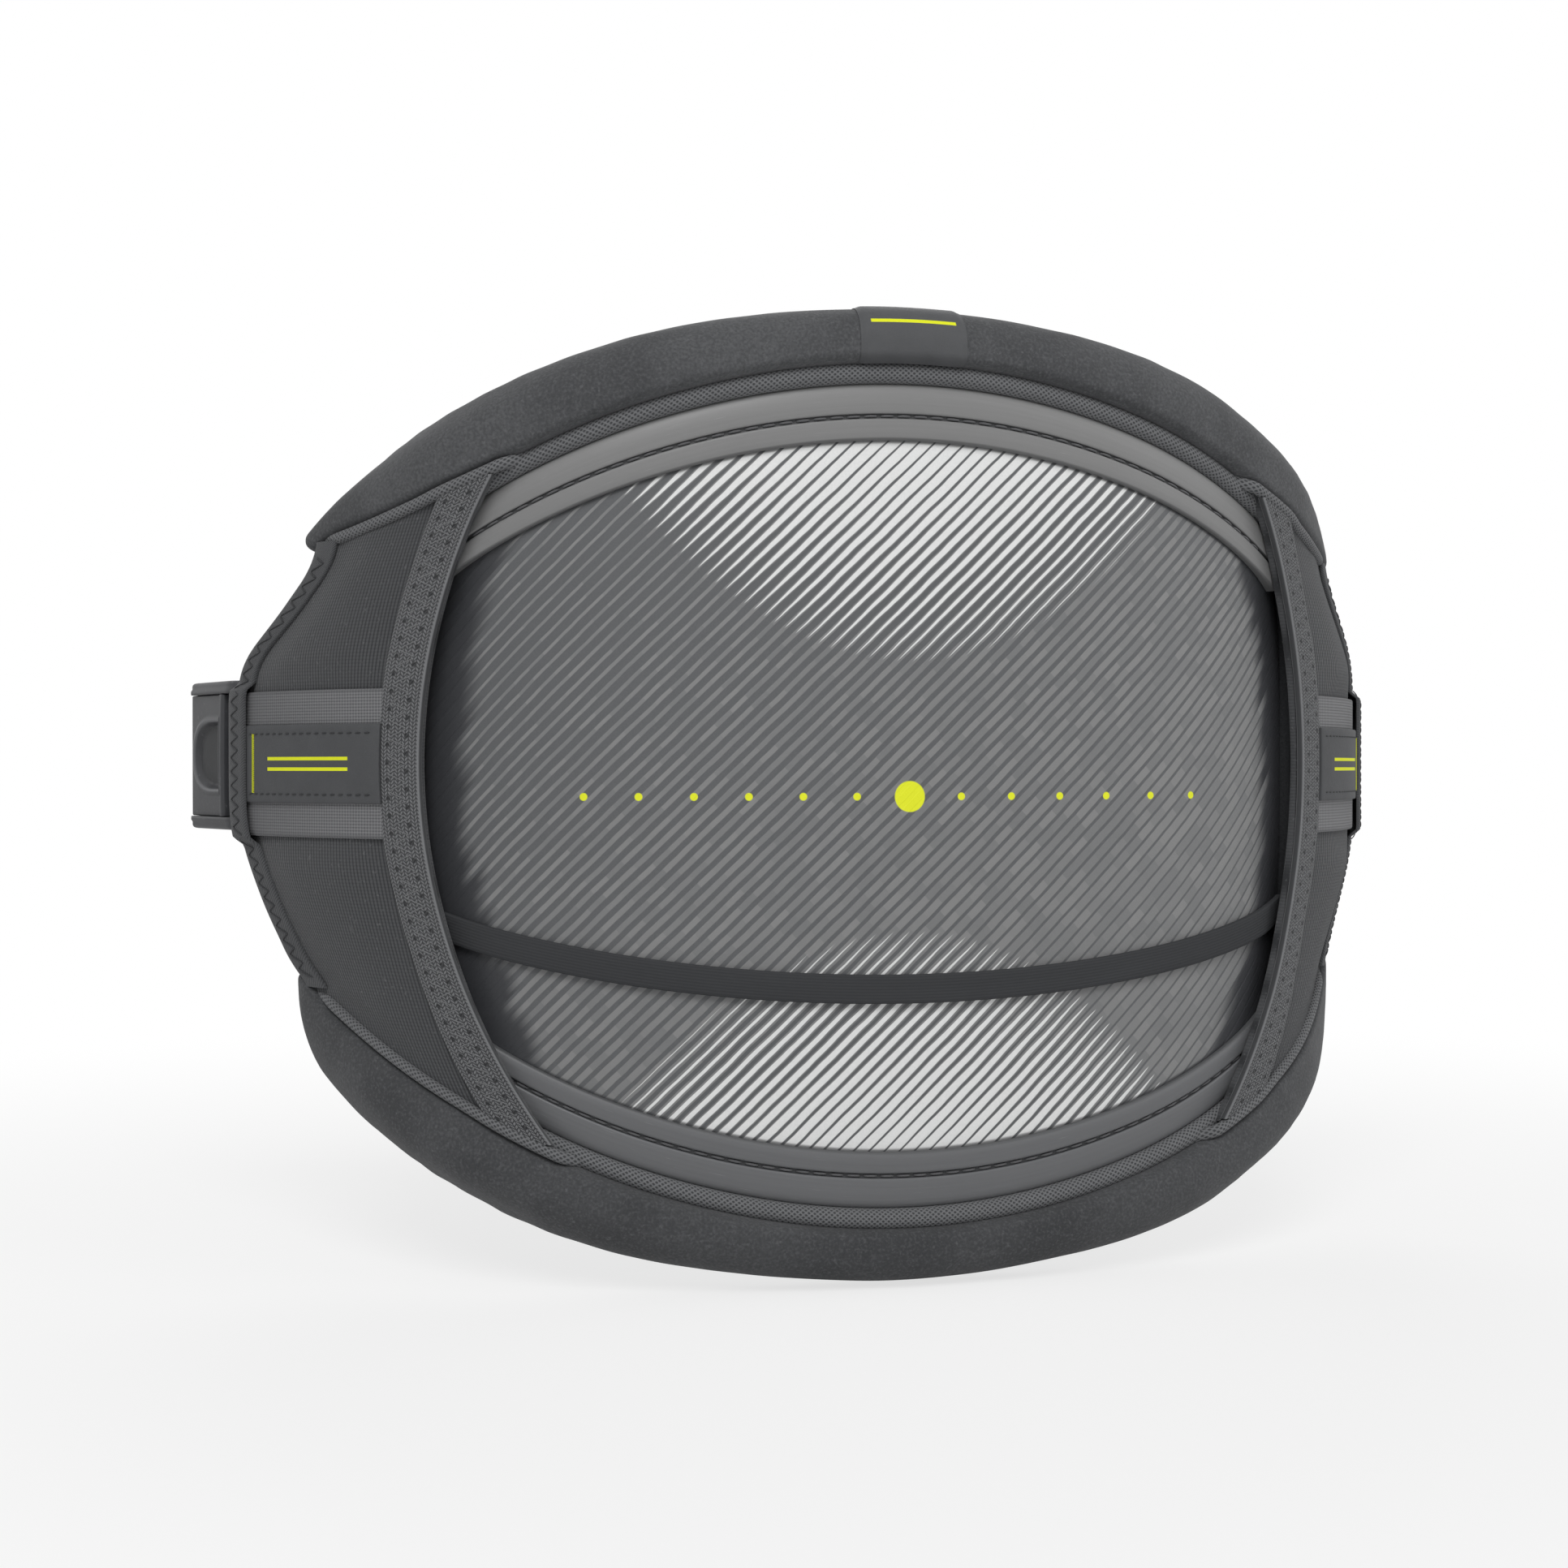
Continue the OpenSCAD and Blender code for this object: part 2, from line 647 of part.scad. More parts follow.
module cam_lever() {
    color("#56575a") at_buckle() difference() {
        union() {
            translate([0, 0, -lever_half]) linear_extrude(2 * lever_half) lever_outline();
            translate([pin_x, pin_y, -lever_half]) cylinder(r = cam_r, h = 2 * lever_half);
        }
        translate([pin_x, pin_y, -lever_half - 1])
            cylinder(r = pin_r + pin_gap, h = 2 * lever_half + 2);
        translate([pin_x - cam_r - 2, pin_y - cam_r - 1, -spring_room])
            cube([2 * cam_r + 4, cam_r + 1 + lever_in - pin_y, 2 * spring_room]);
        translate([pin_x - cam_r - 0.2, pin_y - cam_r - 1, -spring_room])
            cube([2 * cam_r + 2, cam_r + 1 + wire_room, 2 * spring_room]);
        dish();
    }
}

module hinge_pin() {
    color("#8a8c8f") at_buckle()
        translate([pin_x, pin_y, -buckle_h / 2 + 0.5]) cylinder(r = pin_r, h = buckle_h - 1);
}

// Spring round the pin: its turns, a leg under the lever and a leg on the base plate
coil_r = pin_r + wire_r + 0.12;
wire_room = coil_r + wire_r + 0.1;
turn_pitch = 1.96 * wire_r;
lever_leg = 9;
base_leg = 8;

// Straight leg from one point of the coil's plane to another
module wire_leg(from, to) {
    run = to - from;
    translate([from.x, from.y, 0]) rotate([0, 0, atan2(run.y, run.x)]) rotate([0, 90, 0])
        cylinder(r = wire_r, h = norm(run));
}

module torsion_spring() {
    coil_half = (spring_turns - 1) / 2 * turn_pitch;
    color("#9a9c9f") at_buckle() translate([pin_x, pin_y, 0]) {
        for (i = [0 : spring_turns - 1])
            translate([0, 0, i * turn_pitch - coil_half])
                rotate_extrude() translate([coil_r, 0]) circle(r = wire_r, $fn = 24);
        translate([0, 0, coil_half])
            wire_leg([-coil_r, 0], [-lever_leg, lever_in - pin_y - wire_r - 0.1]);
        translate([0, 0, -coil_half])
            wire_leg([0, -coil_r], [-base_leg, tail_low + base_t - pin_y + wire_r + 0.1]);
    }
}

// The strap loops round the bar; its legs bend back along the wing
strap_t = 1.4;
loop_r = bar_r + lay;
leg_reach = 17;
anchor_w = 2 * cheek_in - 1.5;
function leg_bend(x) = -(pow(x, 2) - pow(bar_x, 2)) / (2 * side_radius);
function leg_line(r, from, to) = [for (x = spread(from, to, 4)) [x, bar_y + r + leg_bend(x)]];
function loop_line(r) = [for (a = spread(80, -80, 8)) [bar_x + r * cos(a), bar_y + r * sin(a)]];

module anchor_strap() {
    color("#333436") at_buckle() translate([0, 0, -anchor_w / 2]) linear_extrude(anchor_w)
        polygon(concat(
            leg_line(loop_r + strap_t, bar_x - leg_reach, bar_x),
            loop_line(loop_r + strap_t),
            leg_line(-loop_r - strap_t, bar_x, bar_x - leg_reach),
            leg_line(-loop_r, bar_x - leg_reach, bar_x),
            reversed(loop_line(loop_r)),
            leg_line(loop_r, bar_x, bar_x - leg_reach)));
}

// ---- Nodes ----

shell_plate();
top_rim();
bottom_rim();
lumbar_foam();
inner_liner();
top_roll();
bottom_roll();
top_welt();
bottom_welt();
top_label();
leash_strap();
on_left() wing_cover();  // left_wing_cover
wing_cover();  // right_wing_cover
on_left() wing_board();  // left_wing_board
wing_board();  // right_wing_board
on_left() wing_foam();  // left_wing_foam
wing_foam();  // right_wing_foam
on_left() trim_tape();  // left_trim_tape
trim_tape();  // right_trim_tape
on_left() edge_binding();  // left_edge_binding
edge_binding();  // right_edge_binding
on_left() side_webbing();  // left_side_webbing
side_webbing();  // right_side_webbing
on_left() webbing_patch();  // left_webbing_patch
webbing_patch();  // right_webbing_patch
on_left() bar_tack();  // left_bar_tack
bar_tack();  // right_bar_tack
on_left() anchor_strap();  // left_anchor_strap
anchor_strap();  // right_anchor_strap
on_left() buckle_frame();  // left_buckle_frame
buckle_frame();  // right_buckle_frame
on_left() cam_lever();  // left_cam_lever
cam_lever();  // right_cam_lever
on_left() hinge_pin();  // left_hinge_pin
hinge_pin();  // right_hinge_pin
on_left() torsion_spring();  // left_torsion_spring
torsion_spring();  // right_torsion_spring
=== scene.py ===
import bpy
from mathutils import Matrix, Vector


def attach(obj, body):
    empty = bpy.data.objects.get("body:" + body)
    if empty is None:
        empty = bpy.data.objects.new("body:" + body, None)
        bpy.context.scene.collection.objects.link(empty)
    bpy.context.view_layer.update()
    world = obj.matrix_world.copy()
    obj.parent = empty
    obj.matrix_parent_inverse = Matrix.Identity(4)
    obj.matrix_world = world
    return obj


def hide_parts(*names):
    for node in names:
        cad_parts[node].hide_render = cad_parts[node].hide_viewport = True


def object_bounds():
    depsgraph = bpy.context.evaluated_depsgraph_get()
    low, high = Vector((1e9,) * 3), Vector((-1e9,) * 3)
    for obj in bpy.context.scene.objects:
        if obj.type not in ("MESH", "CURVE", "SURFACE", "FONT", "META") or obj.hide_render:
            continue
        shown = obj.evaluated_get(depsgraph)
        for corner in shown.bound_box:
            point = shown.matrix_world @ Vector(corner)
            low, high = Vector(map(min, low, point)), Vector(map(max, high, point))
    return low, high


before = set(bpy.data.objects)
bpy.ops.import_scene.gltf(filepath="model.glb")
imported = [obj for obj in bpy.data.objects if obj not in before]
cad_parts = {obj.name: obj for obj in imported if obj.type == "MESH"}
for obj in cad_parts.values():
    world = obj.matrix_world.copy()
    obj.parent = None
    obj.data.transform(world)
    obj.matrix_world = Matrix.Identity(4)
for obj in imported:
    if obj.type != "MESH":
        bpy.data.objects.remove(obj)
CAD_BOX = [list(corner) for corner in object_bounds()]

import math
from functools import partialmethod

import bmesh
import bpy
from mathutils import Vector, kdtree

# Every layer of the harness is given by s, the length along the waist curve from the spine, by n,
# the distance out of the shell's face, and by the height z. Sizes are in mm, as in the CAD source,
# and meshes are in metres.
MM = 0.001
LAY = 0.3

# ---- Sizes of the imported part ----

BACK_RADIUS, BACK_HALF_LEN, SIDE_RADIUS = 420, 70, 155
RIM_HALF_H, RIM_ARCH_RADIUS, RIM_W, RIM_HALF_LEN = 122.5, 235, 17, 132
SHELL_HALF_LEN, SHELL_T, SHELL_BULGE, EDGE_SINK, SHELL_CORNER_R = 148, 3.6, 3, 2.5, 22
SINK_START, PLATE_INSET = 112, 3.3
PAD_DEPTH, LINER_T, FRONT_DEPTH = 18.5, 2.2, 8.5
WELT_D, WELT_N, SEAM_GAP = 5.6, 1.4, 0.4
ROLL_PROUD, ROLL_END_R = 8, 14
LABEL_W, LABEL_T, LABEL_SWEEP = 32, 0.8, 125
WING_LEN, COVER_T, POCKET_H = 228, 2.7, 3.3
TAPE_W, TAPE_T, TAPE_REACH, TAPE_MID_Z, TAPE_BOW_RADIUS = 14.5, 2.5, 143.5, 10, 155
TAPE_LOW_Z, TAPE_HIGH_Z = -101, 94
HOLE_PITCH, HOLE_ROWS = 5.3, (4.3, 10.7)
BINDING_W, BINDING_T, BOARD_T = 12, 1.3, 2.1
WEBBING_Z, WEBBING_W, WEBBING_T = 9.7, 45, 1.6
PATCH_W, PATCH_T, PATCH_SEAM, TACK_W, TACK_LEN = 24, 1.1, 9.3, 1.4, 18
LEASH_W, LEASH_T, LEASH_DROP, LEASH_SAG_RADIUS = 8.6, 2.2, 57, 540
BUCKLE_Z, BUCKLE_H, CHEEK_T, BAR_X, BAR_R = 12.5, 48, 4, -12, 2.2
TAIL_LOW, TAIL_HIGH = -5.4, 1.8
STRAP_T, LEG_REACH = 1.4, 17
DISH_START, DISH_X, DISH_LONG, DISH_HALF, DISH_POWER, DISH_DEEP = 13, 20, 15, 11, 2.4, 3.1
GROOVE_Z, GROOVE_N = -9.9, 1.7
TUCK = 8

SIDES = ((1, "right"), (-1, "left"))
COVER_N = POCKET_H + COVER_T
TAPE_N = COVER_N + LAY
WELT_BAND = WELT_D + LAY


# ---- The camera ----

def add_object(name, data):
    thing = bpy.data.objects.new(name, data)
    bpy.context.scene.collection.objects.link(thing)
    return thing


def make_camera():
    data = bpy.data.cameras.new("camera")
    data.angle = math.radians(37.81)
    data.clip_start, data.clip_end = 0.05, 20
    camera = add_object("camera", data)
    camera.location = (-0.1952, -0.6722, 0.0088)
    camera.rotation_euler = (math.radians(89.57), 0, math.radians(-13.55))
    bpy.context.scene.camera = camera


make_camera()


# ---- The waist curve and the edges ----

def spread(a, b, count):
    return [a + (b - a) * i / count for i in range(count + 1)]


def full_turn(count):
    return [2 * math.pi * k / count for k in range(count)]


def smooth(low, high, x):
    """Rises smoothly from 0 at low to 1 at high."""
    t = min(1, max(0, (x - low) / (high - low)))
    return t * t * (3 - 2 * t)


def heading(s):
    """Direction of the waist curve at s: 0 at the spine."""
    if abs(s) <= BACK_HALF_LEN:
        return s / BACK_RADIUS
    return math.copysign(BACK_HALF_LEN / BACK_RADIUS + (abs(s) - BACK_HALF_LEN) / SIDE_RADIUS, s)


def tuck(s, z):
    """How far the soft wings draw in towards the body above and below the buckle."""
    return TUCK * smooth(125, 200, abs(s)) * smooth(22, 75, abs(z - BUCKLE_Z))


def at(s, n, z):
    """The point at length s, distance n out of the face and height z, in metres."""
    n -= tuck(s, z)
    turn = min(abs(s), BACK_HALF_LEN) / BACK_RADIUS
    end = abs(heading(s))
    x = BACK_RADIUS * math.sin(turn) + SIDE_RADIUS * (math.sin(end) - math.sin(turn))
    y = BACK_RADIUS * (1 - math.cos(turn)) + SIDE_RADIUS * (math.cos(turn) - math.cos(end))
    point = (math.copysign(x + n * math.sin(end), s), y - PAD_DEPTH - n * math.cos(end), z)
    return Vector(point) * MM


def outward(s):
    return Vector((math.sin(heading(s)), -math.cos(heading(s)), 0))


def arch(s, radius):
    """Drop of a flat arch of this radius at s from its top."""
    return s * s / (2 * radius)


def rim_z(s):
    return RIM_HALF_H - arch(s, RIM_ARCH_RADIUS)


class Roll:
    """One padded roll: its seam and its crest over s, as heights away from the middle. plump is how
    much fuller it is beside the middle, and swell how far its cover swells under pressure."""

    def __init__(self, word, up, brow, ease, crest_h, crest_radius, half_len, tape_end, plump, swell):
        self.word, self.up, self.brow, self.ease = word, up, brow, ease
        self.crest_h, self.crest_radius, self.half_len = crest_h, crest_radius, half_len
        self.tape_end, self.plump, self.swell = tape_end, plump, swell

    def seam(self, s):
        past = abs(s) - self.brow
        if past <= 0:
            return rim_z(s) + WELT_BAND
        slope = self.brow / RIM_ARCH_RADIUS
        return rim_z(self.brow) + WELT_BAND - slope * past + self.ease * past * past / 2

    def crest(self, s):
        fuller = smooth(30, 110, abs(s)) * (1 - 0.6 * smooth(170, 200, abs(s)))
        return self.crest_h - arch(s, self.crest_radius) + self.plump * fuller

    def reach(self, z):
        """The length s at which the seam comes down to the height z."""
        low, high = 0, self.half_len
        for _ in range(24):
            middle = (low + high) / 2
            low, high = (middle, high) if self.seam(middle) > z else (low, middle)
        return low


TOP = Roll("top", 1, 110, 0.0044, 144.5, 320, 192, TAPE_HIGH_Z, 1.0, 1.8)
BOTTOM = Roll("bottom", -1, 118, 0.0004, 144.5, 335, 197, -TAPE_LOW_Z, 2.4, 2.3)
ROLLS = TOP, BOTTOM

TOP_END_Z = TOP.seam(TOP.half_len)
BOTTOM_END_Z = -BOTTOM.seam(BOTTOM.half_len - LAY)
FRONT_HIGH, FRONT_LOW = BUCKLE_Z + BUCKLE_H / 2 - CHEEK_T, 0


def front_line(s0, z0, z1, shares):
    """(z, s) along the wing's front edge, from a roll's end at s0, z0 to the buckle at z1. The shares
    run from 0 to 1 outwards and towards the buckle."""
    return [(z0 + (z1 - z0) * down, s0 + (WING_LEN - s0) * out) for out, down in shares]


FRONT_LINE = sorted(
    front_line(TOP.half_len, TOP_END_Z, FRONT_HIGH,
               [(0, 0), (0.06, 0.2), (0.44, 0.52), (0.89, 0.79), (1, 1)])
    + front_line(BOTTOM.half_len - LAY, BOTTOM_END_Z, FRONT_LOW,
                 [(0, 0), (0.34, 0.13), (0.62, 0.38), (0.81, 0.64), (0.97, 0.85), (1, 1)]))


def lookup(x, pairs):
    """The value at x on the line through sorted pairs."""
    if x <= pairs[0][0]:
        return pairs[0][1]
    for (x0, y0), (x1, y1) in zip(pairs, pairs[1:]):
        if x <= x1:
            return y0 + (y1 - y0) * (x - x0) / (x1 - x0)
    return pairs[-1][1]


def front_s(z):
    """The wing's front edge at height z, with its corners softened."""
    near = [lookup(z + d, FRONT_LINE) for d in (-4, -2, 0, 2, 4)]
    return sum(near) / len(near)


def wing_limit(z):
    if z > TOP_END_Z:
        return TOP.reach(z + SEAM_GAP)
    if z < BOTTOM_END_Z:
        return BOTTOM.reach(SEAM_GAP - z)
    return front_s(z)


def wing_edge(s, roll):
    """Height of the wing's edge over s, on the side of one roll."""
    if abs(s) <= roll.half_len - LAY:
        return roll.up * roll.seam(s)
    line = [(out, z) for z, out in FRONT_LINE if z * roll.up > (FRONT_HIGH if roll.up > 0 else -1) - 1]
    return lookup(abs(s), sorted(line))


def plate_z(s):
    """Height of the shell plate's edge, inside the rim's lip, with its rounded corners."""
    corner = abs(s) - SHELL_HALF_LEN + SHELL_CORNER_R
    cut = SHELL_CORNER_R - math.sqrt(max(0, SHELL_CORNER_R**2 - corner**2)) if corner > 0 else 0
    return rim_z(s) - PLATE_INSET - cut


def face_n(s, z):
    """The shell's face: it bulges in the middle and sinks under the wings."""
    bulge = SHELL_BULGE * (1 - (z / RIM_HALF_H) ** 2) * max(0.1, 1 - (s / TAPE_REACH) ** 2)
    sink = EDGE_SINK * (max(0, abs(s) - SINK_START) / (SHELL_HALF_LEN - SINK_START)) ** 2
    return bulge - sink


def inner_n(s):
    """The wearer's side of the liner, which comes closer to the face along the wings."""
    taper_start = SHELL_HALF_LEN + 2 * LAY
    if abs(s) <= taper_start:
        return -PAD_DEPTH
    return -PAD_DEPTH + (PAD_DEPTH - FRONT_DEPTH) * (abs(s) - taper_start) / (WING_LEN - taper_start)


def tape_s(z):
    """The trim tape's inner edge at height z."""
    return TAPE_REACH - arch(z - TAPE_MID_Z, TAPE_BOW_RADIUS)


def tape_z(s, z):
    """Height of the tape's row z at s, where the tape's ends are cut along the rolls' seams."""
    gap = 2 * SEAM_GAP
    return max(gap - BOTTOM.seam(s), min(TOP.seam(s) - gap, z))


def tape_run(z):
    """Length along the tape from its widest place to height z."""
    t = (z - TAPE_MID_Z) / TAPE_BOW_RADIUS
    return TAPE_BOW_RADIUS * (t * math.sqrt(1 + t * t) + math.asinh(t)) / 2


def leash_z(s):
    return -LEASH_DROP + arch(s, LEASH_SAG_RADIUS)


# ---- Materials ----

def linear(byte):
    c = byte / 255
    return c / 12.92 if c <= 0.04045 else ((c + 0.055) / 1.055) ** 2.4


def tone(red, green=None, blue=None):
    """A colour from its bytes. With one byte only, it is a grey with a cool cast."""
    return (linear(red), linear(green or red + 1), linear(blue or red + 3), 1)


ACCENT = tone(238, 244, 40)


def put(tree, slot, value):
    if isinstance(value, Field):
        tree.links.new(value.socket, slot)
    else:
        slot.default_value = value


def field(tree, kind, output=0, slots=(), **settings):
    """The output of a new node, with its settings and the values or fields for its input slots."""
    node = tree.nodes.new("ShaderNode" + kind)
    for key, value in settings.items():
        setattr(node, key, value)
    for slot, value in dict(slots).items():
        put(tree, node.inputs[slot], value)
    return Field(tree, node.outputs[output])


class Field:
    """A value that varies over a surface: an output of a node tree, with arithmetic."""

    def __init__(self, tree, socket):
        self.tree, self.socket = tree, socket

    def of(self, operation, *others, clamp=False):
        return field(self.tree, "Math", 0, enumerate((self, *others)), operation=operation, use_clamp=clamp)

    __add__ = __radd__ = partialmethod(of, "ADD")
    __mul__ = __rmul__ = partialmethod(of, "MULTIPLY")
    __sub__ = partialmethod(of, "SUBTRACT")
    __truediv__ = partialmethod(of, "DIVIDE")
    abs = partialmethod(of, "ABSOLUTE")
    floor = partialmethod(of, "FLOOR")
    fract = partialmethod(of, "FRACT")
    root = partialmethod(of, "SQRT")
    power = partialmethod(of, "POWER")
    most = partialmethod(of, "MAXIMUM")
    least = partialmethod(of, "MINIMUM")
    clamp = partialmethod(of, "ADD", 0.0, clamp=True)

    def __rsub__(self, other):
        return (self * -1) + other

    def wave(self, pitch):
        """1 in the middle of each band of this pitch and 0 at its edges."""
        return (self * (math.pi / pitch)).of("SINE").abs()

    def rise(self, low, high):
        """Rises smoothly from 0 at low to 1 at high."""
        slots = {"Value": self, "From Min": low, "From Max": high}
        return field(self.tree, "MapRange", "Result", slots, interpolation_type="SMOOTHSTEP")

    def fall(self, low, high):
        return 1 - self.rise(low, high)


class Finish:
    """A Principled material whose colour, roughness and relief are fields over the surface.
    u and v are the place on the cloth or moulding, in mm, and body is the colour so far."""

    def __init__(self, name, roughness=0.7, specular=0.25, **fixed):
        self.material = bpy.data.materials.new(name)
        self.material.use_nodes = True
        self.tree = self.material.node_tree
        self.shader = self.tree.nodes["Principled BSDF"]
        self.shader.inputs["Roughness"].default_value = roughness
        self.shader.inputs["Specular IOR Level"].default_value = specular
        for key, value in fixed.items():
            self.shader.inputs[key.replace("_", " ")].default_value = value
        chart = field(self.tree, "UVMap", uv_map="cloth")
        self.u, self.v = (field(self.tree, "SeparateXYZ", k, {0: chart}) for k in (0, 1))
        self.body = None

    def point(self, x, y, z=0.0):
        return field(self.tree, "CombineXYZ", 0, enumerate((x, y, z)))

    def noise_at(self, place, scale, detail):
        return field(self.tree, "TexNoise", "Fac", {"Vector": place, "Scale": scale, "Detail": detail})

    def noise(self, size, stretch=1.0, detail=2.0):
        """Noise from 0 to 1 with blobs of this size in mm, drawn out along u by stretch."""
        return self.noise_at(self.point(self.u / (size * stretch), self.v / size), 1.0, detail)

    def solid_noise(self, size, detail=2.0):
        """Noise from 0 to 1 through space, with blobs of this size in mm."""
        return self.noise_at(field(self.tree, "TexCoord", "Object"), 1 / (size * MM), detail)

    def speckle(self, x, y):
        """A random number from 0 to 1 for each whole x and y."""
        place = self.point(x.floor(), y.floor())
        return field(self.tree, "TexWhiteNoise", "Value", {"Vector": place}, noise_dimensions="2D")

    def mix(self, factor, first, second):
        return field(self.tree, "Mix", 2, {"Factor": factor, 6: first, 7: second}, data_type="RGBA")

    def paint(self, factor, first, second):
        """Starts the body with two colours."""
        self.body = self.mix(factor, first, second)

    def tint(self, share, colour):
        """Brings a share of a colour into the body."""
        self.body = self.mix(share, self.body, colour)

    def done(self, relief, roughness=None):
        """The material, with its relief as the height of the surface in mm."""
        put(self.tree, self.shader.inputs["Base Color"], self.body)
        if roughness is not None:
            put(self.tree, self.shader.inputs["Roughness"], roughness)
        bump = field(self.tree, "Bump", 0, {"Distance": MM, "Height": relief})
        put(self.tree, self.shader.inputs["Normal"], bump)
        return self.material


def neoprene(name, dark, light):
    """Smooth-faced neoprene with a fine grain, soft blotches and a little lint."""
    f = Finish(name, roughness=0.82, specular=0.16, Sheen_Weight=0.12, Sheen_Roughness=0.6)
    grain = f.solid_noise(0.85)
    blotch = f.solid_noise(34, detail=3)
    lint = f.solid_noise(1.5, detail=4).rise(0.6, 0.72)
    f.paint(blotch.rise(0.35, 0.65), dark, light)
    f.tint(lint * 0.22, tone(128))
    f.tint(grain.fall(0.34, 0.52) * 0.34, tone(50))
    f.tint(grain.rise(0.52, 0.66) * 0.22, tone(112))
    return f.done(grain * 0.14 + f.solid_noise(2.6) * 0.08, 0.74 + grain * 0.16)


def knit_mesh():
    """Knitted mesh: rows of lozenge holes, each row shifted by half a hole."""
    f = Finish("knit_mesh", roughness=0.8, specular=0.2, Sheen_Weight=0.1)
    across, along = 1.5, 1.7
    hole = (f.u / along + f.v / across).wave(1) * (f.u / along - f.v / across).wave(1)
    yarn = hole.fall(0.25, 0.95)
    f.paint(yarn, tone(66), tone(120))
    f.tint(f.solid_noise(18) * 0.25, tone(78))
    return f.done(yarn * 0.26 + f.solid_noise(0.5) * 0.05)


def rim_moulding(name, dark, light):
    """Satin moulding with faint drawn streaks along its length and a few scuffs. v is the height
    from the rim's outer edge."""
    f = Finish(name, roughness=0.42, specular=0.35, Coat_Weight=0.08, Coat_Roughness=0.35)
    streak = f.noise(0.9, stretch=60)
    cloud = f.solid_noise(45)
    scuff = f.noise(0.35, stretch=30, detail=4).rise(0.66, 0.74)
    # The outer band grows lighter towards the rim's outer edge: a painted sheen
    f.paint(streak * 0.5 + cloud * 0.25 + f.v.rise(-9, -1) * 0.25, dark, light)
    f.tint(scuff * 0.3, tone(168, 168, 168))
    # Painted shade in the stitched groove
    groove = (f.v - GROOVE_Z).abs().fall(0.5, 0.8)
    f.tint(groove * 0.9, tone(50))
    # Painted contact shade along the rim's inner edge, where it meets the shell
    f.tint(f.v.fall(-16.6, -16.0) * 0.6, tone(70, 71, 72))
    return f.done(streak * 0.03 + f.solid_noise(0.4) * 0.012, 0.38 + cloud * 0.14)


CRESCENT_HALF, CRESCENT_DEPTH = 86, 66
STRIPE_PITCH, STRIPE_LEAN = 3.35, math.radians(44)


def row_of_dots(f):
    """Where a centring row of dots lies, the middle one larger."""
    step, row_half, dot_r, disc_r = 16, 104, 1.15, 4.6
    along = ((f.u / step - 0.5).fract() - 0.5) * step
    reach = (along.power(2.0) + f.v * f.v).root()
    dots = reach.fall(dot_r - 0.15, dot_r + 0.15) * f.u.abs().fall(row_half - 1, row_half + 1)
    dots = dots * f.u.abs().rise(disc_r + 4, disc_r + 5)
    return dots.most((f.u * f.u + f.v * f.v).root().fall(disc_r - 0.2, disc_r + 0.2))


def printed_shell():
    """Composite shell with fine diagonal stripes, two crescents of white stripes that thin out
    towards the middle, and a row of plain dots."""
    f = Finish("printed_shell", roughness=0.5, specular=0.3, Coat_Weight=0.12, Coat_Roughness=0.3)
    wander = f.noise(16) * 0.6 + f.noise(4.5) * 0.16
    band = (f.v * math.cos(STRIPE_LEAN) - f.u * math.sin(STRIPE_LEAN) + wander) / STRIPE_PITCH
    along = f.u * math.cos(STRIPE_LEAN) + f.v * math.sin(STRIPE_LEAN)
    # 0 on the middle of a stripe and 1 midway to the next
    off = (band.fract() - 0.5).abs() * 2
    inward = rim_z(f.u) - RIM_W - f.v.abs()
    out = f.u / CRESCENT_HALF
    inside = ((1 - out * out) * CRESCENT_DEPTH - inward) / CRESCENT_DEPTH
    white_share = inside.clamp().power(0.75) * 0.86
    share = (0.58 + f.u * 0.0019 - f.v * 0.0023).most(0.26).least(0.8)
    share = share.most((white_share + 0.2).least(0.82) * inside.rise(0.0, 0.05))
    soft = 0.07
    grey_part = (share - off).rise(-soft, soft)
    white_part = (white_share - off).rise(-soft, soft) * inside.rise(0.0, 0.03)
    # Each stripe has cells of its own tone, and its own seed
    seed = band * 0
    cell = f.speckle(along / 6.2 + f.speckle(band, seed) * 7, band)
    fleck = f.solid_noise(0.5)
    dark = f.mix(fleck, tone(88, 90, 92), tone(100, 101, 103))
    grey = f.mix(cell * 0.75 + fleck * 0.25, tone(118, 119, 120), tone(138, 138, 138))
    white = f.mix(fleck, tone(226, 227, 227), tone(243, 243, 242))
    f.paint(grey_part, dark, grey)
    f.tint(white_part, white)
    f.tint(row_of_dots(f), ACCENT)
    # Painted shade in the crease beside the rims
    f.tint(inward.fall(0.2, 1.1) * 0.75, tone(58))
    # Short of the wings' tapes the print fades, each stripe at its own length, into painted shade of the
    # pocket under the tape
    room = tape_s(f.v) - f.u.abs() + f.speckle(band, seed + 3) * 6
    f.tint(room.fall(9, 17), tone(60, 61, 64))
    return f.done(grey_part * 0.06 + white_part * 0.05 + fleck * 0.03, 0.42 + cell * 0.1 + fleck * 0.08)


def ribbed_knit():
    """Stretch fabric with fine upright ribs, whose stitches show as rows of small dots."""
    f = Finish("ribbed_knit", roughness=0.82, specular=0.16, Sheen_Weight=0.14, Sheen_Roughness=0.5)
    rib = f.u.wave(1.2)
    rung = f.v.wave(1.05)
    height = rib * 0.65 + rib * rung * 0.35
    f.paint(height.rise(0.1, 0.95), tone(54), tone(88))
    f.tint(f.solid_noise(30) * 0.35, tone(66))
    f.tint(f.solid_noise(1.3, detail=4).rise(0.62, 0.74) * 0.3, tone(132, 133, 134))
    return f.done(height * 0.22 + f.solid_noise(0.35) * 0.06)


